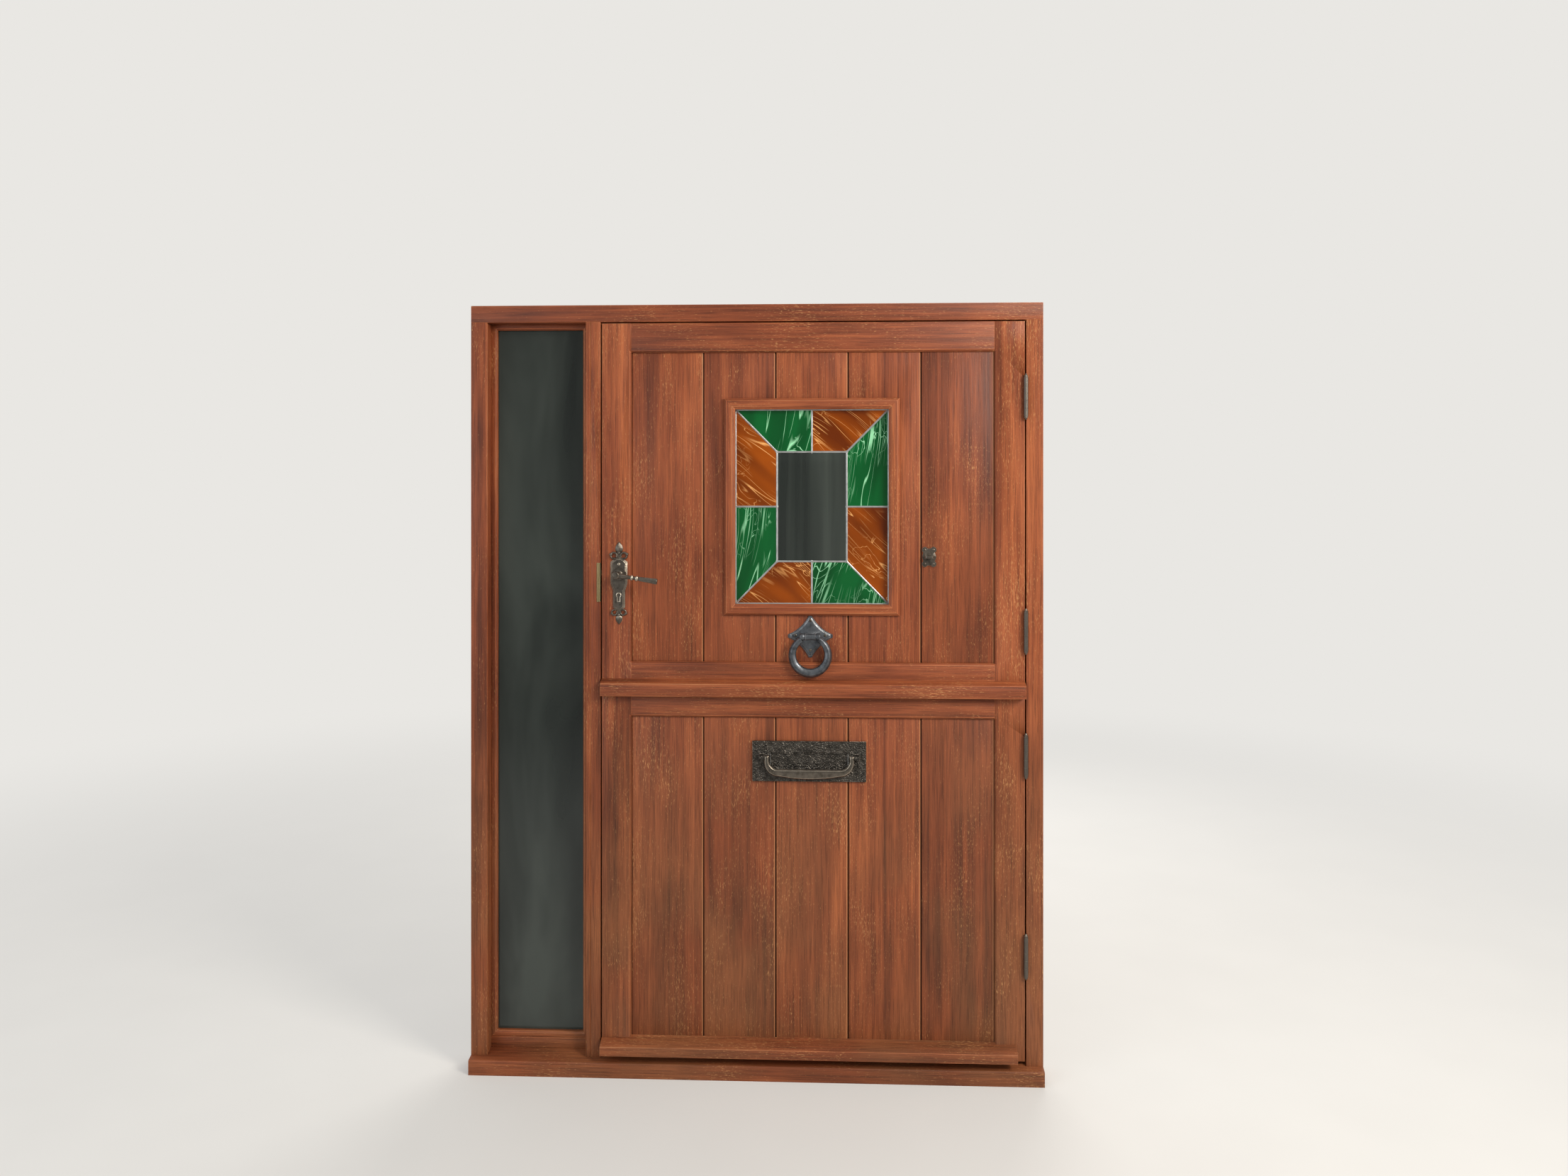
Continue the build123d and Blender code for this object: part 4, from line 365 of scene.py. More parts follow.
def streaky_glass(name, body, deep, streak, seed, turn, calm):
    """Rolled streaky glass: deep colour with fine pale wisps pulled through it, glossy and wavy."""
    glass = bpy.context.scene.door_glass
    material, tree, shader, place = start_material(name, {
        "Transmission Weight": 0.15, "Roughness": 0.06, "IOR": 1.5, "Specular IOR Level": 0.4})
    flow = add(tree, "ShaderNodeTexNoise", {"Vector": place, "Scale": 3.0, "Detail": 0.4, "Distortion": 0.2})
    bend = add(tree, "ShaderNodeVectorMath", {0: flow.outputs["Color"], "Scale": 0.14}, operation="SCALE")
    bent = add(tree, "ShaderNodeVectorMath", [place, bend], operation="ADD")
    fields = []
    for across, along, detail, distort in ((glass.streak * 3, glass.streak_length, 2.0, 0.0),
                                           (glass.streak, glass.streak_length, 1.0, 0.25),
                                           (glass.streak * 2.2, glass.streak * 4, 1.5, 2.4)):
        mapped = add(tree, "ShaderNodeMapping", {
            "Vector": bent, "Location": (seed, 0.0, seed * 1.7), "Rotation": (0.0, turn, 0.0),
            "Scale": (across, 1.0, along)}, vector_type="TEXTURE")
        fields.append(add(tree, "ShaderNodeTexNoise", {"Vector": mapped, "Scale": 1.0, "Detail": detail,
                                                       "Distortion": distort}))
    cloud, runs, curls = fields
    ground = add(tree, "ShaderNodeValToRGB", [cloud], [(0.36, deep), (0.62, body)])
    patch = add(tree, "ShaderNodeTexNoise", {"Vector": place, "Scale": 9.0, "Detail": 1.0})
    shown = None
    for field, level, width, start, stop in ((runs, 0.5, 0.018, 0.42, 0.62), (runs, 0.4, 0.012, 0.6, 0.42),
                                             (runs, 0.6, 0.012, 0.44, 0.64), (curls, 0.5, 0.012, 0.48, 0.58)):
        ridge = add(tree, "ShaderNodeMath", [field, level], operation="SUBTRACT")
        ridge = add(tree, "ShaderNodeMath", [ridge], operation="ABSOLUTE")
        line = add(tree, "ShaderNodeMapRange", [ridge, width, 0.0, 0.0, 0.95])
        shift = calm if stop > start else 0.0
        where = add(tree, "ShaderNodeMapRange", [patch, start + shift, stop + shift])
        line = add(tree, "ShaderNodeMath", [line, where], operation="MULTIPLY")
        shown = add(tree, "ShaderNodeMath", [shown, line], operation="MAXIMUM") if shown else line
    done = add(tree, "ShaderNodeMix", {"Factor_Float": shown, "A_Color": ground,
                                       "B_Color": (*streak, 1.0)}, data_type="RGBA")
    waves = ripple(tree, place, 24.0, 1.0, 0.3, 2 * MM)
    feed(tree, shader, {"Base Color": done.outputs[2], "Normal": waves})
    return material


def float_glass(name, pale, deep, bands):
    """Clear glass with the unlit room behind it painted in as dark shade: faintly green, cleanly glossy,
    banded where it is reeded.
    """
    material, tree, shader, place = start_material(name, {
        "Transmission Weight": 0.15, "Roughness": 0.03, "IOR": 1.5, "Specular IOR Level": 0.5})
    mapped = add(tree, "ShaderNodeMapping", {"Vector": place, "Location": (0.31, 0.0, 0.17), "Scale": bands})
    haze = add(tree, "ShaderNodeTexNoise", {"Vector": mapped, "Scale": 1.0, "Detail": 3.0, "Distortion": 0.4})
    body = add(tree, "ShaderNodeValToRGB", [haze], [(0.35, deep), (0.66, pale)])
    waves = ripple(tree, place, 3.0, 0.0, 0.15, 4 * MM)
    feed(tree, shader, {"Base Color": body, "Normal": waves})
    return material


def finishes(*names):
    """Materials made before."""
    return [bpy.data.materials[name] for name in names]


def link_object(name, mesh):
    """New object on a finished mesh, at the origin."""
    made = bpy.data.objects.new(name, mesh)
    bpy.context.scene.collection.objects.link(made)
    return made


def finish_piece(name, bm, body, materials, node, sharp):
    """Plain mesh with normals out, sharp only at its real edges, on its body in place of its node."""
    bmesh.ops.remove_doubles(bm, verts=bm.verts, dist=MERGE)
    bmesh.ops.recalc_face_normals(bm, faces=bm.faces)
    mesh = bpy.data.meshes.new(name)
    bm.to_mesh(mesh)
    bm.free()
    for material in materials:
        mesh.materials.append(material)
    mesh.shade_smooth()
    mesh.set_sharp_from_angle(angle=math.radians(sharp))
    made = link_object(name, mesh)
    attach(made, body)
    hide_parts(node)
    return made


def bevel(bm, edges, width, segments, material):
    """Round edges, their new faces in the material of that number."""
    bmesh.ops.bevel(bm, geom=edges, offset=width, offset_type="OFFSET", segments=segments, profile=0.5,
                    affect="EDGES", clamp_overlap=True, material=material)


def eased_copy(node, materials, width, segments=2, dent=0.0, depth=0.0, shortest=0.0, mitred=False):
    """The node's own shape with its arrises rounded in the worn finish, and its face hammered if asked;
    on the timber that finish is partly rubbed wear and partly a painted highlight.
    """
    source = frame["nodes"][node]
    bm = bmesh.new()
    bm.from_mesh(source.data)
    bmesh.ops.remove_doubles(bm, verts=bm.verts, dist=MERGE)
    bm.normal_update()
    if mitred:
        joints = [f for f in bm.faces if abs(f.normal.x) > MITRE_LEAN and abs(f.normal.z) > MITRE_LEAN]
        bmesh.ops.delete(bm, geom=joints, context="FACES")
    for face in bm.faces:
        face.material_index = 1 if mitred and runs_across(node, face.calc_center_median()) else 0
    bmesh.ops.dissolve_limit(bm, angle_limit=math.radians(1), verts=bm.verts, edges=bm.edges,
                             delimit={"MATERIAL"})
    for face in bm.faces:
        face.material_index = 0
    edges = [e for e in bm.edges if len(e.link_faces) == 2 and e.calc_face_angle() > ARRIS_ANGLE
             and e.calc_length() > shortest]
    if width > 0 and edges:
        bevel(bm, edges, width, segments, 1 if len(materials) > 1 else 0)
    if dent:
        hammer(bm, dent, depth)
    return finish_piece(node + "_finished", bm, source["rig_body"], materials, node, 55 if dent else 35)


def runs_across(node, point):
    """True on the bars of a mitred frame that run across."""
    low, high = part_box(node)
    middle = (low + high) / 2
    return (high.z - low.z) / 2 - abs(point.z - middle.z) < (high.x - low.x) / 2 - abs(point.x - middle.x)


def hammer(bm, dent, depth):
    """Cover the faces towards the street with shallow round dents, sunk into the metal."""
    step = dent * 0.28
    fronts = [f for f in bm.faces if f.normal.y < STREETWARD and f.calc_area() > dent * dent]
    geometry = [*{v for f in fronts for v in f.verts}, *{e for f in fronts for e in f.edges}, *fronts]
    for axis in (0, 2):
        places = [v.co[axis] for f in fronts for v in f.verts]
        low, high = min(places), max(places)
        normal = Vector((1, 0, 0)) if axis == 0 else Vector((0, 0, 1))
        for i in range(1, int((high - low) / step)):
            cut = bmesh.ops.bisect_plane(bm, geom=geometry, dist=1e-7, plane_co=normal * (low + i * step),
                                         plane_no=normal)
            geometry = cut["geom"]
    bm.normal_update()
    for vert in bm.verts:
        if all(face.normal.y < STREETWARD for face in vert.link_faces):
            near = noise.voronoi(vert.co / dent)[0][0]
            finer = noise.voronoi(vert.co / dent * 2.1 + Vector((5, 5, 5)))[0][0]
            bowl = (1 - min(1.0, 1.7 * near * near)) * 0.7 + (1 - min(1.0, 1.9 * finer * finer)) * 0.3
            vert.co.y += depth * bowl


def skin(bm, rings, closed=False):
    """Join rings of equally many points, the last to the first if closed, or else with filled ends."""
    loops = [[bm.verts.new(point) for point in ring] for ring in rings]
    following = loops[1:] + (loops[:1] if closed else [])
    bands = []
    for first, second in zip(loops, following):
        bands.append([bm.faces.new((first[i], first[i - 1], second[i - 1], second[i]))
                      for i in range(len(first))])
    if not closed:
        bm.faces.new(loops[0])
        bm.faces.new(list(reversed(loops[-1])))
    return bands


def circle(steps, first=0.0):
    """Cosine and sine of equal steps round a circle, turned by a share of a step."""
    turns = [2 * math.pi * (i + first) / steps for i in range(steps)]
    return [(math.cos(a), math.sin(a)) for a in turns]


def arc(middle, radius, start, sweep, steps=10):
    """Points along an arc, from one angle through another, in degrees."""
    turns = [math.radians(start + sweep * i / steps) for i in range(steps + 1)]
    return [(middle[0] + radius * math.cos(a), middle[1] + radius * math.sin(a)) for a in turns]


def lathe(bm, profile, place, steps=40):
    """Turn a profile of (radius, height) about the local w axis."""
    skin(bm, [[place @ Vector((r * c, r * s, h)) for c, s in circle(steps)] for r, h in profile])


def sideways(axis, start, side):
    """Place in mm of a turned piece that runs to one side, from a distance beside an axis."""
    return (Matrix.Translation(axis + Vector((side * start * MM, 0, 0)))
            @ Matrix.Rotation(side * math.pi / 2, 4, "Y") @ Matrix.Scale(MM, 4))


def prism(bm, outline, low, high, edge, place):
    """Flat piece from an outline, its front edge chamfered and rubbed bright."""
    inner = inset(outline, edge)
    bands = skin(bm, [[place @ Vector((u, v, h)) for u, v in ring]
                      for ring, h in ((outline, low), (outline, high - edge), (inner, high))])
    for face in bands[1]:
        face.material_index = 1


def inset(outline, distance):
    """Outline moved inwards by a distance, mitred at its corners; it runs anticlockwise."""
    moved = []
    for i, point in enumerate(outline):
        before = Vector(point) - Vector(outline[i - 1])
        after = Vector(outline[(i + 1) % len(outline)]) - Vector(point)
        side_a = Vector((-before.y, before.x)).normalized()
        side_b = Vector((-after.y, after.x)).normalized()
        middle = (side_a + side_b).normalized()
        moved.append(Vector(point) + middle * distance / max(0.35, middle.dot(side_a)))
    return [(p.x, p.y) for p in moved]


class DOOR_OT_timber(bpy.types.Operator):
    """Eases and stains the frame, the stiles, the rails and the boards"""
    bl_idname = "stable_door.timber"
    bl_label = "Timber"

    def execute(self, context):
        ease = context.scene.door_wood.ease
        for nodes, name, grain, seed, pitch in (
                (UPRIGHT_NODES, UPRIGHT, "Z", 1.0, 0.0), (LEVEL_NODES, LEVEL, "X", 4.0, 0.0),
                (BOARD_NODES, "stained sapele boards", "Z", 7.0, BOARD_PITCH)):
            plain = stained_hardwood(name, grain, seed, pitch=pitch)
            # The rounded edges' paler finish: rubbed wear with a painted highlight.
            rubbed = stained_hardwood(name + WORN_AND_HIGHLIT, grain, seed, worn=True, pitch=pitch)
            for node in nodes:
                eased_copy(node, [plain, rubbed], ease, shortest=SHORTEST_ARRIS)
        for node in TRIM_NODES:
            self.trim(node, ease * 0.8)
        return {"FINISHED"}

    def trim(self, node, ease):
        """Mitred frames: the bars that run across take the level grain."""
        made = eased_copy(node, finishes(UPRIGHT, UPRIGHT + WORN_AND_HIGHLIT), ease, mitred=True)
        for material in finishes(LEVEL, LEVEL + WORN_AND_HIGHLIT):
            made.data.materials.append(material)
        for face in made.data.polygons:
            if runs_across(node, face.center):
                face.material_index += 2


class DOOR_OT_ironmongery(bpy.types.Operator):
    """Gives hinges, bolts, plates and the strike their metal"""
    bl_idname = "stable_door.ironmongery"
    bl_label = "Ironmongery"

    def execute(self, context):
        iron = context.scene.door_iron
        black = cast_iron(BLACK, iron.black, 0.36, GRIT)
        rubbed = cast_iron(RUBBED, iron.rubbed, 0.28, GRIT, 0.12)
        hammered = cast_iron("hammered black iron", iron.hammered, 0.34, GRIT, pit=iron.pit)
        grey = cast_iron(PEWTER, iron.grey, 0.42, COARSE_GRIT)
        grey_rubbed = cast_iron(RUBBED_PEWTER, iron.grey_rubbed, 0.36, COARSE_GRIT, 0.15)
        steel = rolled_metal(STEEL, iron.hinge, 0.42)
        steel_rubbed = rolled_metal("rubbed rolled steel", iron.rubbed, 0.32)
        brass = rolled_metal("bright rolled brass", iron.brass, 0.25)
        groups = (
            (["hook_eye", "coupling_guide", "coupling_bolt", "coupling_keep", "lower_bolt_guide",
              "lower_bolt"], [black, rubbed], 0.5 * MM, 0.0),
            (["letter_plate", "letter_flap"], [hammered, rubbed], 0.7 * MM, 1.0),
            (["knocker_plate"], [grey, grey_rubbed], 0.6 * MM, 0.0),
            (["hinge_frame_leaves", "hinge_pins", "upper_hinge_leaves", "lower_hinge_leaves"],
             [steel, steel_rubbed], 0.35 * MM, 0.0),
            (["strike_plate"], [brass], 0.3 * MM, 0.0),
        )
        for nodes, materials, width, dented in groups:
            for node in nodes:
                eased_copy(node, materials, width, 1, iron.dent * dented, iron.dent_depth * dented)
        lock = rolled_metal("satin lock steel", iron.rubbed, 0.35)
        for node in ("lock_case", "spindle", "latch_bolt", "dead_bolt"):
            frame["nodes"][node].material_slots[0].material = lock
        return {"FINISHED"}


class DOOR_OT_letter_bow(bpy.types.Operator):
    """Forges the letter plate's bow: thin arms that widen into a crowned, bevelled bar"""
    bl_idname = "stable_door.letter_bow"
    bl_label = "Letter Bow"

    def execute(self, context):
        iron = context.scene.door_iron
        elbow = 83.5
        outline = [(-121.5, 5.0), *arc((-elbow, -12.5), 38, 180, 90)]
        outline += [(u, -58 + 7.5 * (u / elbow) ** 2) for u in (elbow * (i / 10 - 1) for i in range(1, 20))]
        outline += [*arc((elbow, -12.5), 38, 270, 90), (121.5, 5.0), (108.5, 5.0)]
        outline += [*arc((elbow, -6.6), 25, 0, -90), *arc((-elbow, -6.6), 25, -90, -90), (-108.5, 5.0)]
        bm = bmesh.new()
        prism(bm, outline, -5.5, 5.5, 3.2, Matrix.Translation(BOW_AXIS) @ FACING_OUT @ Matrix.Scale(MM, 4))
        bm.normal_update()
        for face in bm.faces:
            face.material_index = 0
        bevel(bm, [e for e in bm.edges if e.calc_face_angle() > ARRIS_ANGLE], 0.45 * MM, 1, 1)
        hammer(bm, iron.dent, iron.dent_depth * 0.3)
        for side in (-1, 1):
            lathe(bm, [(3.0, 0), (3.0, 14.4), (2.5, 14.9)], sideways(BOW_AXIS, 119, side), 20)
        finish_piece("letter_bow_forging", bm, "bow", finishes(BLACK, RUBBED),
                     "letter_bow", 50)
        return {"FINISHED"}


class DOOR_OT_lever_set(bpy.types.Operator):
    """Casts the lever plates with their fleurs-de-lis and the levers of the lock"""
    bl_idname = "stable_door.lever_set"
    bl_label = "Lever Set"

    def execute(self, context):
        inner_end = Vector((LEVER_AXIS.x, LEAF_BACK, LEVER_AXIS.z))
        places = [Matrix.Translation(LEVER_AXIS) @ FACING_OUT, Matrix.Translation(inner_end) @ FACING_IN]
        for name, body, node, make in (("lever_plate_castings", "upper_leaf", "lever_plates", self.plate),
                                       ("lever_castings", "lever_handle", "levers", self.lever)):
            bm = bmesh.new()
            for place in places:
                make(bm, place @ Matrix.Scale(MM, 4))
            finish_piece(name, bm, body, finishes(BLACK, RUBBED), node, 40)
        return {"FINISHED"}

    def plate(self, bm, place):
        """Back plate, its stepped border, the rose, the keyhole rim and a fleur-de-lis at each end."""
        half = [(6, -99), (16.5, -90), (16.5, -45), (23, -26), (23, 33), (6.5, 45)]
        outline = half + [(-u, v) for u, v in reversed(half)]
        prism(bm, outline, 0.0, 3.0, 0.8, place)
        for step, height in ((2.2, 4.2), (4.6, 5.2)):
            prism(bm, inset(outline, step), 2.5, height, 0.8, place)
        lathe(bm, [(19, 0), (19, 5.4), (18.2, 6.6), (16.8, 6.6), (16.0, 5.7), (8.2, 5.7)], place, 48)
        hole = [(-2.65, -72.5), (2.65, -72.5), (2.65, -61.1), *arc((0, -57), 4.9, -57, 294, 20),
                (-2.65, -61.1)]
        rim = inset(hole, -2.4)
        bands = skin(bm, [[place @ Vector((u, v, h)) for u, v in ring] for ring, h in (
            (rim, 4.0), (rim, 6.0), (inset(hole, -1.2), 6.6), (hole, 6.2), (hole, 2.0))], closed=True)
        for face in bands[1] + bands[2]:
            face.material_index = 1
        self.fleur(bm, place @ Matrix.Translation((0, 45, 0)))
        self.fleur(bm, place @ Matrix.Translation((0, -99, 0)) @ Matrix.Rotation(math.pi, 4, "Z")
                   @ Matrix.Scale(0.88, 4))

    def fleur(self, bm, place):
        """A ridged, pointed petal over a ball, between two curls that end in buds."""
        rings = []
        for i in range(21):
            s = i / 20
            wide = max(0.05, 2.2 * (1 - s) + 9.2 * math.sin(math.pi * s ** 0.82) ** 0.85)
            tall = 1.2 + 4.6 * math.sin(math.pi * (0.1 + 0.86 * s)) ** 0.7
            section = [(-wide, 0), (-wide, 0.7)]
            section += [(wide * k / 4, 0.7 + (tall - 0.7) * (1 - abs(k) / 4) ** 0.8) for k in range(-3, 4)]
            section += [(wide, 0.7), (wide, 0)]
            rings.append([place @ Vector((x, 11 + 32 * s, h)) for x, h in section])
        skin(bm, rings)
        lathe(bm, [(4.6, 0), (4.6, 4.0), (4.1, 5.6), (2.9, 6.7), (1.2, 7.2), (0.01, 7.3)],
              place @ Matrix.Translation((0, 12.5, 0)), 24)
        prism(bm, [(-4.5, -6), (4.5, -6), (3.6, 12), (-3.6, 12)], 0.0, 4.4, 1.4, place)
        for side in (-1, 1):
            rings = []
            for i in range(29):
                s = i / 28
                turn = math.radians(205 - 335 * s)
                wire = 2.9 - 0.6 * s
                out = Vector((side * math.cos(turn), math.sin(turn), 0))
                centre = Vector((side * 13.8, 5.2, 2.9)) + out * (8.6 - 0.7 * s)
                rings.append([place @ (centre + out * wire * c + Vector((0, 0, 1.25 * wire * up)))
                              for c, up in circle(12)])
            skin(bm, rings)
            lathe(bm, [(4.3, 0), (4.3, 3.8), (3.7, 5.4), (2.3, 6.5), (0.8, 6.9), (0.01, 7.0)],
                  place @ Matrix.Translation((side * 21.6, 8.6, 0)), 20)

    def lever(self, bm, place):
        """Neck and hub on the spindle, a tapering arm, two turned beads and a faceted grip."""
        lathe(bm, [(8, 0.3), (8, 5.9), (10.5, 5.9), (10.5, 9.0), (9.4, 9.9), (8, 10.4), (8, 39), (9.2, 40.6),
                   (10.5, 42), (10.5, 51.4), (9.7, 53.0), (7.9, 53.6), (7.3, 54.5), (4.0, 55.0),
                   (0.01, 55.0)], place)
        middle, droop = 47.0, math.radians(-8.5)
        arm = place @ Matrix.Rotation(droop, 4, "Z")
        self.bar(bm, arm, [(0.5, 6.4, 6.2), (16, 6.2, 5.9), (32, 5.3, 5.0), (44, 4.6, 4.3)], middle, 12)
        knot = [(40, 4.4), (40.4, 6.2), (41.6, 7.3), (43.4, 7.7), (45.2, 7.3), (46.4, 6.2), (47.2, 4.9),
                (49, 4.6), (52.4, 4.8), (53.2, 6.2), (54.6, 7.3), (56.6, 7.7), (58.6, 7.3), (60, 6.2),
                (60.8, 5.0), (63, 4.8)]
        bands = skin(bm, [[arm @ Vector((x, r * c, middle + r * s)) for c, s in circle(32)] for x, r in knot])
        for face in [f for k in (1, 2, 3, 4, 9, 10, 11, 12) for f in bands[k]]:
            face.material_index = 1
        self.bar(bm, arm, [(61, 4.9, 4.4), (66, 5.5, 4.8), (88, 6.5, 5.4), (108.5, 7.5, 6.1),
                           (111, 7.2, 5.8), (112, 6.0, 4.8)], middle, 8)

    def bar(self, bm, place, stations, middle, facets):
        """Bar of flat facets along u, with a half height and a half depth at each station."""
        grow = 1 / math.cos(math.pi / facets)
        skin(bm, [[place @ Vector((u, height * grow * c, middle + depth * grow * s))
                   for c, s in circle(facets, 0.5)] for u, height, depth in stations])


class DOOR_OT_knocker(bpy.types.Operator):
    """Casts the knocker's ring with its bosses and pin"""
    bl_idname = "stable_door.knocker"
    bl_label = "Knocker"

    def execute(self, context):
        bm = bmesh.new()
        rings = []
        for i in range(73):
            share = 2 * i / 72 - 1
            turn = math.radians(152 * share)
            section = 12.5 - 4.0 * abs(share) ** 1.6
            out = Vector((math.sin(turn), 0, -math.cos(turn)))
            origin = Vector((0, 0, -51)) + out * (58.5 - section)
            ring = []
            for a in (2 * math.pi * k / 40 for k in range(40)):
                swell = section * (0.965 + 0.03 * math.cos(5 * a))
                ring.append(KNOCKER_AXIS + MM * (origin + swell * (out * math.cos(a)
                                                                   + Vector((0, math.sin(a), 0)))))
            rings.append(ring)
        skin(bm, rings)
        for side in (-1, 1):
            lathe(bm, [(8.3, 0), (9.5, 1.2), (9.5, 11.0), (8.6, 12.4), (7.2, 13.0)],
                  sideways(KNOCKER_AXIS, 15.15, side), 32)
        lathe(bm, [(3.5, -16), (3.5, 16)], sideways(KNOCKER_AXIS, 0, 1), 24)
        finish_piece("knocker_ring_casting", bm, "knocker", finishes(PEWTER, RUBBED_PEWTER),
                     "knocker_ring", 50)
        return {"FINISHED"}


class DOOR_OT_leaded_light(bpy.types.Operator):
    """Glazes the window with streaky glass and lays the lead along its joints"""
    bl_idname = "stable_door.leaded_light"
    bl_label = "Leaded Light"

    def execute(self, context):
        glass = context.scene.door_glass
        spacer = rolled_metal("mill finished aluminium", linear("#9A9C9E"), 0.4)
        clear = glass.clear, glass.clear_deep
        panes = {
            "glass_green": streaky_glass("streaky green glass", glass.green, glass.green_deep,
                                         glass.green_streak, 3.0, 0.2, 0.05),
            "glass_amber": streaky_glass("streaky amber glass", glass.amber, glass.amber_deep,
                                         glass.amber_streak, 8.0, -1.0, 0.0),
            "glass_centre": float_glass("clear reeded glass", *clear, (16.0, 1.0, 0.9)),
            "sidelight_panes": float_glass("dark float glass", *clear, (5.0, 1.0, 1.6)),
            "sidelight_spacer": spacer,
        }
        for node, material in panes.items():
            frame["nodes"][node].material_slots[0].material = material
        lead = cast_iron("soft bright lead", context.scene.door_iron.lead, 0.4, 3.0 * MM, 0.12)
        half_face = 3.0 * MM
        low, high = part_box("lead_cames")
        middle, reach = (low + high) / 2, (high - low) / 2
        a, b = 94.5 * MM, 148.5 * MM
        c, d = reach.x - half_face, reach.z - half_face
        points = [(-c, d), (0, d), (c, d), (c, 0), (c, -d), (0, -d), (-c, -d), (-c, 0),
                  (-a, b), (0, b), (a, b), (a, 0), (a, -b), (0, -b), (-a, -b), (-a, 0)]
        edges = [(first + i, first + (i + 1) % 8) for first in (0, 8) for i in range(8)]
        edges += [(i, 8 + i) for i in range(8)]
        mesh = bpy.data.meshes.new("came_lines")
        mesh.from_pydata([middle + Vector((x, 0, z)) for x, z in points], edges, [])
        lines = link_object("lead_came_network", mesh)
        run_nodes(lines, came_tree(lead), {"Half Face": half_face, "Solder Size": 4.6 * MM,
                                           "Hand": 0.35 * MM})
        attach(lines, "upper_leaf")
        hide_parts("lead_cames")
        return {"FINISHED"}


def start_tree(name, source, result, sockets):
    """New geometry tree with its first input, its output and these further inputs; and the inputs."""
    tree = bpy.data.node_groups.new(name, "GeometryNodeTree")
    for label, kind in ((source, "Geometry"), *sockets):
        tree.interface.new_socket(label, in_out="INPUT", socket_type="NodeSocket" + kind)
    tree.interface.new_socket(result, in_out="OUTPUT", socket_type="NodeSocketGeometry")
    return tree, add(tree, "NodeGroupInput").outputs


def end_tree(tree, result, finish):
    """Give the tree's result its material and send it out."""
    painted = add(tree, "GeometryNodeSetMaterial", {"Geometry": result, "Material": finish})
    add(tree, "NodeGroupOutput", [painted])
    return tree


def came_tree(lead):
    """Round lead along every line, with a flat drop of solder on each joint."""
    tree, given = start_tree("Lead Came", "Lines", "Lead", [
        ("Half Face", "Float"), ("Solder Size", "Float"), ("Hand", "Float")])
    path = add(tree, "GeometryNodeMeshToCurve", [given["Lines"]])
    path = add(tree, "GeometryNodeResampleCurve", {"Curve": path, "Length": 6.0 * MM}, mode="LENGTH")
    face = add(tree, "GeometryNodeCurvePrimitiveCircle", {"Resolution": 14, "Radius": given["Half Face"]})
    bead = add(tree, "GeometryNodeCurveToMesh", {"Curve": path, "Profile Curve": face, "Fill Caps": True})
    size = given["Solder Size"]
    drop = add(tree, "GeometryNodeMeshUVSphere", {"Segments": 16, "Rings": 10, "Radius": size})
    flat = add(tree, "GeometryNodeTransform", {"Geometry": drop, "Scale": (1.0, 0.62, 1.0)})
    drops = add(tree, "GeometryNodeInstanceOnPoints", {"Points": given["Lines"], "Instance": flat})
    both = add(tree, "GeometryNodeJoinGeometry", [bead])
    feed(tree, both, [drops])
    real = add(tree, "GeometryNodeRealizeInstances", {"Geometry": both})
    wander = add(tree, "ShaderNodeTexNoise", {"Scale": 90.0, "Detail": 1.0})
    centred = add(tree, "ShaderNodeVectorMath", [wander.outputs["Color"], (0.5, 0.5, 0.5)],
                  operation="SUBTRACT")
    amount = add(tree, "ShaderNodeVectorMath", {0: centred, "Scale": given["Hand"]}, operation="SCALE")
    uneven = add(tree, "GeometryNodeSetPosition", {"Geometry": real, "Offset": amount})
    return end_tree(tree, add(tree, "GeometryNodeSetShadeSmooth", [uneven]), lead)


def run_nodes(made, tree, values):
    """Run a node tree on an object with these inputs, and keep the result as a plain mesh."""
    modifier = made.modifiers.new(tree.name, "NODES")
    modifier.node_group = tree
    for item in tree.interface.items_tree:
        if item.in_out == "INPUT" and item.name in values:
            modifier[item.identifier] = values[item.name]
    evaluated = made.evaluated_get(bpy.context.evaluated_depsgraph_get())
    mesh = bpy.data.meshes.new_from_object(evaluated)
    made.modifiers.remove(modifier)
    made.data = mesh


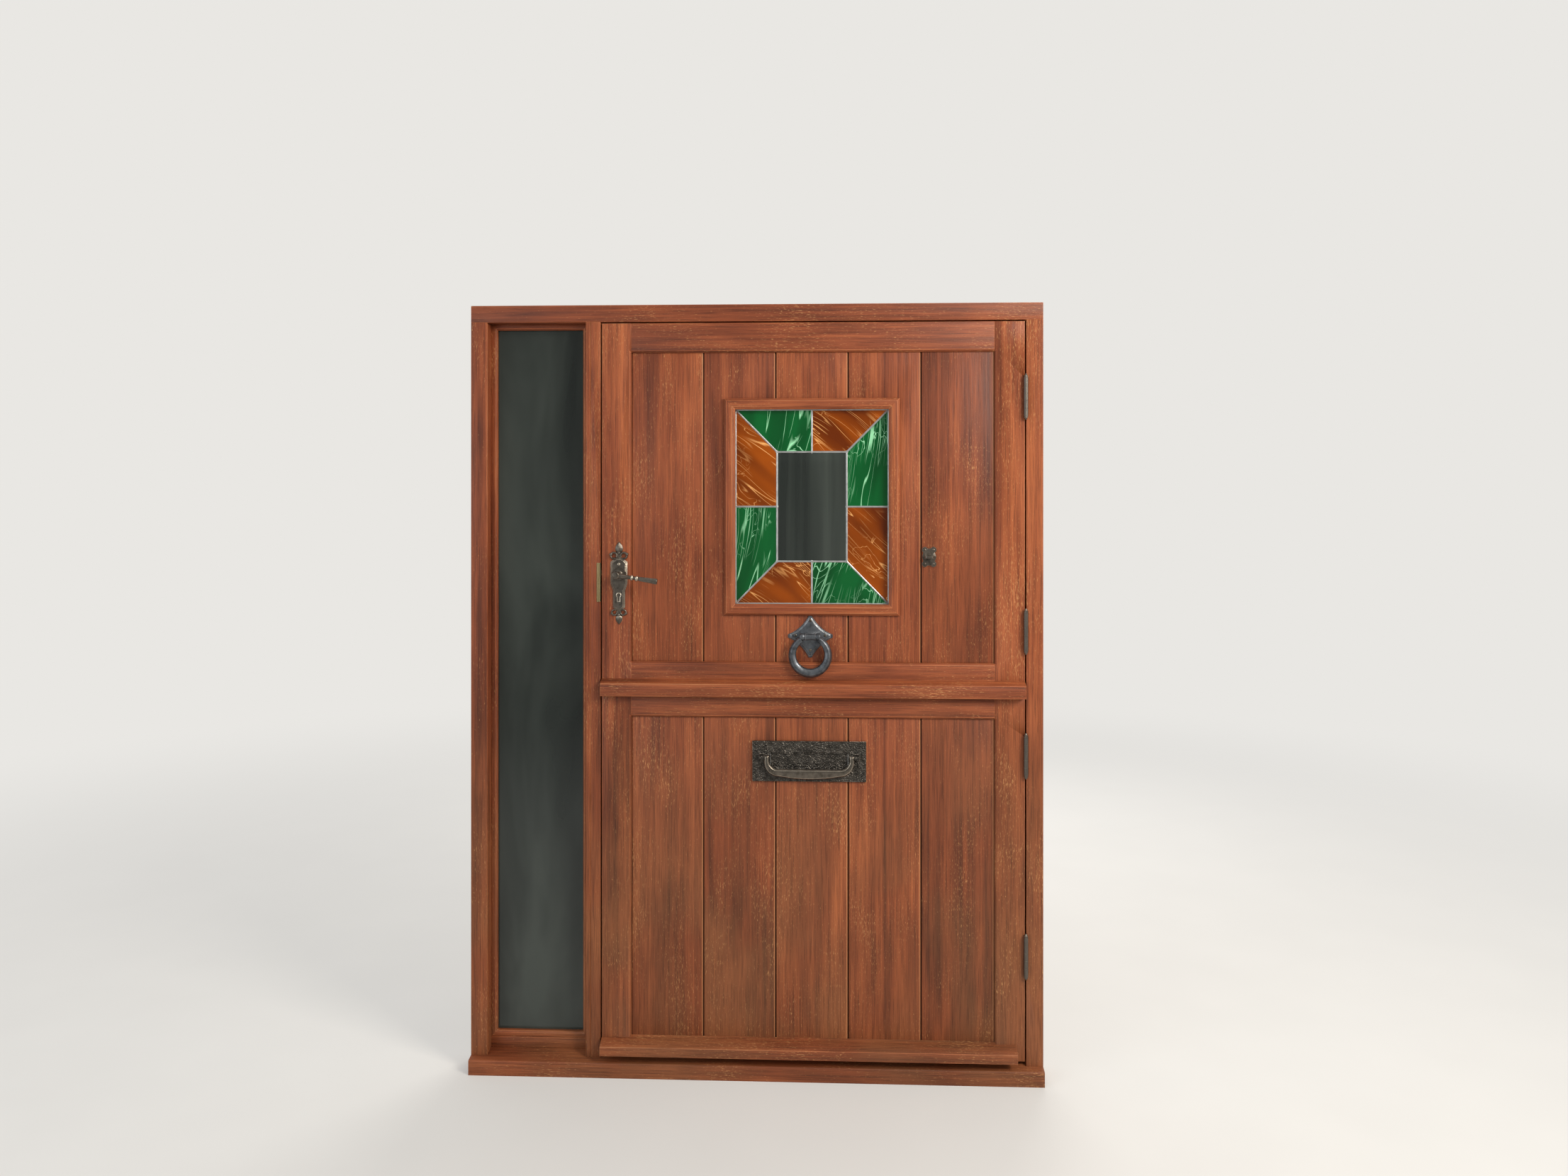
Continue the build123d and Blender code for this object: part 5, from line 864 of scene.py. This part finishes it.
def screw_tree(finish):
    """Slotted domed screw heads on points, each turned its own way."""
    tree, given = start_tree("Slotted Screws", "Places", "Screws", [
        ("Slot Width", "Float"), ("Dome", "Float"), ("Seed", "Int")])
    ball = add(tree, "GeometryNodeMeshUVSphere", {"Segments": 24, "Rings": 16, "Radius": 1.0})
    size = add(tree, "ShaderNodeCombineXYZ", [1.0, 1.0, given["Dome"]])
    head = add(tree, "GeometryNodeTransform", {"Geometry": ball, "Scale": size})
    bar = add(tree, "ShaderNodeCombineXYZ", [3.0, given["Slot Width"], 0.5])
    cut = add(tree, "GeometryNodeMeshCube", {"Size": bar})
    lifted = add(tree, "GeometryNodeTransform", {"Geometry": cut, "Translation": (0.0, 0.0, 0.46)})
    slotted = add(tree, "GeometryNodeMeshBoolean", {"Mesh 1": head, "Mesh 2": lifted},
                  operation="DIFFERENCE", solver="EXACT")
    facing = add(tree, "GeometryNodeInputNamedAttribute", {"Name": "facing"}, data_type="FLOAT_VECTOR")
    radius = add(tree, "GeometryNodeInputNamedAttribute", {"Name": "radius"}, data_type="FLOAT")
    aimed = add(tree, "FunctionNodeAlignRotationToVector", {"Vector": facing}, axis="Z")
    chance = add(tree, "FunctionNodeRandomValue", {"Seed": given["Seed"], 3: math.pi}, data_type="FLOAT")
    spin = add(tree, "FunctionNodeAxisAngleToRotation", {"Axis": (0.0, 0.0, 1.0), "Angle": chance.outputs[1]})
    turned = add(tree, "FunctionNodeRotateRotation", {"Rotation": aimed, "Rotate By": spin},
                 rotation_space="LOCAL")
    heads = add(tree, "GeometryNodeInstanceOnPoints", {
        "Points": given["Places"], "Instance": slotted, "Rotation": turned, "Scale": radius})
    return end_tree(tree, add(tree, "GeometryNodeRealizeInstances", {"Geometry": heads}), finish)


class DOOR_OT_screws(bpy.types.Operator):
    """Drives the slotted screws of the knocker, the levers, the hook eye, the strike and the hinges"""
    bl_idname = "stable_door.screws"
    bl_label = "Screws"

    def execute(self, context):
        black, rubbed, steel = finishes(BLACK, RUBBED, STEEL)
        k = KNOCKER_AXIS
        knocker = [(Vector((k.x + u * MM, BOARD_FACE - 5.4 * MM, k.z + v * MM)), OUT, 4.0 * MM)
                   for u, v in ((0, 42), (-40, 1.5), (40, 1.5), (0, -38))]
        low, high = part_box("hook_eye")
        eye = [(Vector((x, BOARD_FACE - 3.0 * MM, z)), OUT, 3.4 * MM)
               for x in (low.x + 8 * MM, high.x - 8 * MM) for z in (low.z + 8 * MM, high.z - 8 * MM)]
        plates = [(Vector((LEVER_AXIS.x, y, LEVER_AXIS.z + 27 * MM)), way, 4.2 * MM)
                  for y, way in ((-5.2 * MM, OUT), (LEAF_BACK + 5.2 * MM, -OUT))]
        self.drive("knocker_screws", "upper_leaf", "grey_iron", knocker, black)
        self.drive("lever_plate_screws", "upper_leaf", "black_iron", plates, rubbed)
        self.drive("hook_eye_screws", "upper_leaf", "black_iron", eye, black)
        low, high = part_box("strike_plate")
        right = Vector((1, 0, 0))
        jamb = [(Vector((high.x, high.y - 12 * MM, z)), right, 3.0 * MM)
                for z in (low.z + 9 * MM, high.z - 9 * MM)]
        leaves = {"upper_leaf": [], "lower_leaf": []}
        for z, body in HINGE_PLACES:
            for i, dz in enumerate((-0.036, -0.013, 0.013, 0.036)):
                y = 0.012 if i % 2 else 0.022
                jamb.append((Vector((JAMB_EDGE, y, z + dz)), -right, 3.3 * MM))
                leaves[body].append((Vector((LEAF_EDGE, y, z + dz)), right, 3.3 * MM))
        self.drive("frame_screws", "frame", "hinge_steel", jamb, steel)
        for body, places in leaves.items():
            self.drive(body + "_hinge_screws", body, "hinge_steel", places, steel)
        return {"FINISHED"}

    def drive(self, name, body, slot, places, finish):
        """One mesh of screw heads at these places."""
        settings = bpy.context.scene.door_screws
        mesh = bpy.data.meshes.new(name)
        mesh.from_pydata([place for place, _, _ in places], [], [])
        facing = mesh.attributes.new("facing", "FLOAT_VECTOR", "POINT")
        facing.data.foreach_set("vector", [c for _, way, _ in places for c in way])
        radius = mesh.attributes.new("radius", "FLOAT", "POINT")
        radius.data.foreach_set("value", [size for _, _, size in places])
        made = link_object(name, mesh)
        run_nodes(made, screw_tree(finish), {"Slot Width": settings.slot, "Dome": settings.dome,
                                             "Seed": settings.seed})
        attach(made, body)


class DOOR_OT_stage(bpy.types.Operator):
    """Sets the pale floor, the backdrop, the soft lights and the camera"""
    bl_idname = "stable_door.stage"
    bl_label = "Stage"

    def execute(self, context):
        stage = context.scene.door_stage
        self.floor(stage)
        context.scene.world = self.surroundings(stage)
        for lamp in (("key_softbox", (2.9, -2.6, 3.1), (0.1, 0.0, 1.1), 1.5, 150.0, (1.0, 0.93, 0.84)),
                     ("fill_softbox", (-3.2, -3.0, 2.0), (0.0, 0.0, 1.0), 2.4, 42.0, (0.9, 0.95, 1.0)),
                     ("back_softbox", (0.8, 3.4, 2.8), (0.0, 0.0, 1.0), 2.4, 90.0, (1.0, 0.98, 0.95))):
            self.light(*lamp)
        lens = bpy.data.cameras.new("studio_camera")
        lens.sensor_width = 36.0
        lens.lens = stage.lens
        lens.shift_y = stage.shift
        camera = link_object("studio_camera", lens)
        camera.location = (stage.offset, -stage.distance, stage.height)
        camera.rotation_euler = (math.pi / 2, 0.0, stage.yaw)
        context.scene.camera = camera
        context.scene.view_settings.view_transform = "Standard"
        return {"FINISHED"}

    def floor(self, stage):
        """Seamless pale paper that fades into the backdrop's colour away from the door."""
        reach = 60
        floor = bpy.data.meshes.new("studio_floor")
        corners = [(-reach, -reach, 0), (reach, -reach, 0), (reach, reach, 0), (-reach, reach, 0)]
        floor.from_pydata(corners, [], [(0, 1, 2, 3)])
        material, tree, shader, place = start_material("pale studio paper", {"Roughness": 0.9})
        grain = add(tree, "ShaderNodeTexNoise", {"Vector": place, "Scale": 3.0, "Detail": 2.0})
        body = add(tree, "ShaderNodeValToRGB", [grain], [(0.3, [c * 0.97 for c in stage.floor]),
                                                         (0.7, list(stage.floor))])
        feed(tree, shader, {"Base Color": body})
        away = add(tree, "ShaderNodeVectorMath", [place], operation="LENGTH")
        far = add(tree, "ShaderNodeMapRange", [away.outputs["Value"], 1.2, 6.0, 0.3, 1.0],
                  interpolation_type="SMOOTHSTEP")
        rays = add(tree, "ShaderNodeLightPath").outputs
        seen = add(tree, "ShaderNodeMath", [rays["Is Camera Ray"], rays["Is Glossy Ray"]],
                   operation="MAXIMUM")
        share = add(tree, "ShaderNodeMath", [far, seen], operation="MULTIPLY")
        level = add(tree, "ShaderNodeMapRange", [rays["Is Glossy Ray"], 0.0, 1.0, 1.0, 0.3])
        glow = add(tree, "ShaderNodeEmission", {"Color": (*stage.backdrop, 1.0), "Strength": level})
        mixed = add(tree, "ShaderNodeMixShader", [share, shader, glow])
        feed(tree, tree.nodes["Material Output"], {"Surface": mixed})
        floor.materials.append(material)
        link_object("studio_floor", floor)

    def surroundings(self, stage):
        """Soft even light, seen as the backdrop, and dimmed in reflections that look straight on."""
        world = bpy.data.worlds.new("soft_studio")
        world.use_nodes = True
        tree = world.node_tree
        lit = tree.nodes["Background"]
        feed(tree, lit, {"Color": (0.95, 0.97, 1.0, 1.0), "Strength": 0.6})
        backdrop = (*stage.backdrop, 1.0)
        seen = add(tree, "ShaderNodeBackground", {"Color": backdrop, "Strength": 1.0})
        way = add(tree, "ShaderNodeSeparateXYZ", [add(tree, "ShaderNodeTexCoord").outputs["Generated"]])
        facing = add(tree, "ShaderNodeMath", [way.outputs["Y"]], operation="ABSOLUTE")
        dim = add(tree, "ShaderNodeMapRange", [facing, 1.0, 0.3, 0.25, 1.0])
        shine = add(tree, "ShaderNodeBackground", {"Color": backdrop, "Strength": dim})
        rays = add(tree, "ShaderNodeLightPath").outputs
        either = add(tree, "ShaderNodeMath", [rays["Is Camera Ray"], rays["Is Transmission Ray"]],
                     operation="MAXIMUM")
        mixed = add(tree, "ShaderNodeMixShader", [rays["Is Glossy Ray"], lit, shine])
        mixed = add(tree, "ShaderNodeMixShader", [either, mixed, seen])
        feed(tree, tree.nodes["World Output"], {"Surface": mixed})
        return world

    def light(self, name, place, target, size, power, tone):
        """Square soft light that looks at a target."""
        lamp = bpy.data.lights.new(name, "AREA")
        lamp.shape = "SQUARE"
        lamp.size = size
        lamp.energy = power
        lamp.color = tone
        made = link_object(name, lamp)
        made.location = place
        made.rotation_euler = (Vector(target) - Vector(place)).to_track_quat("-Z", "Y").to_euler()
        made.visible_camera = False


class DOOR_PT_panel(bpy.types.Panel):
    """Stable door in the sidebar"""
    bl_idname = "DOOR_PT_panel"
    bl_label = "Stable Door"
    bl_space_type = "VIEW_3D"
    bl_region_type = "UI"
    bl_category = "Stable Door"

    def draw(self, context):
        for kind in OPERATORS:
            self.layout.operator(kind.bl_idname)
        for group, kind in SETTINGS.items():
            for key in kind.__annotations__:
                self.layout.prop(getattr(context.scene, group), key)


OPERATORS = (DOOR_OT_timber, DOOR_OT_ironmongery, DOOR_OT_letter_bow, DOOR_OT_lever_set, DOOR_OT_knocker,
             DOOR_OT_leaded_light, DOOR_OT_screws, DOOR_OT_stage)
SETTINGS = {
    "door_wood": WoodSettings,
    "door_iron": IronSettings,
    "door_glass": GlassSettings,
    "door_screws": ScrewSettings,
    "door_stage": StageSettings,
}


def register():
    for kind in (*SETTINGS.values(), *OPERATORS, DOOR_PT_panel):
        bpy.utils.register_class(kind)
    for name, kind in SETTINGS.items():
        setattr(bpy.types.Scene, name, bpy.props.PointerProperty(type=kind))


def unregister():
    for name in SETTINGS:
        delattr(bpy.types.Scene, name)
    for kind in (DOOR_PT_panel, *reversed(OPERATORS), *reversed(SETTINGS.values())):
        bpy.utils.unregister_class(kind)


def main():
    """Make every piece in order."""
    register()
    bpy.ops.stable_door.timber()
    bpy.ops.stable_door.ironmongery()
    bpy.ops.stable_door.letter_bow()
    bpy.ops.stable_door.lever_set()
    bpy.ops.stable_door.knocker()
    bpy.ops.stable_door.leaded_light()
    bpy.ops.stable_door.screws()
    bpy.ops.stable_door.stage()


if __name__ == "__main__":
    main()
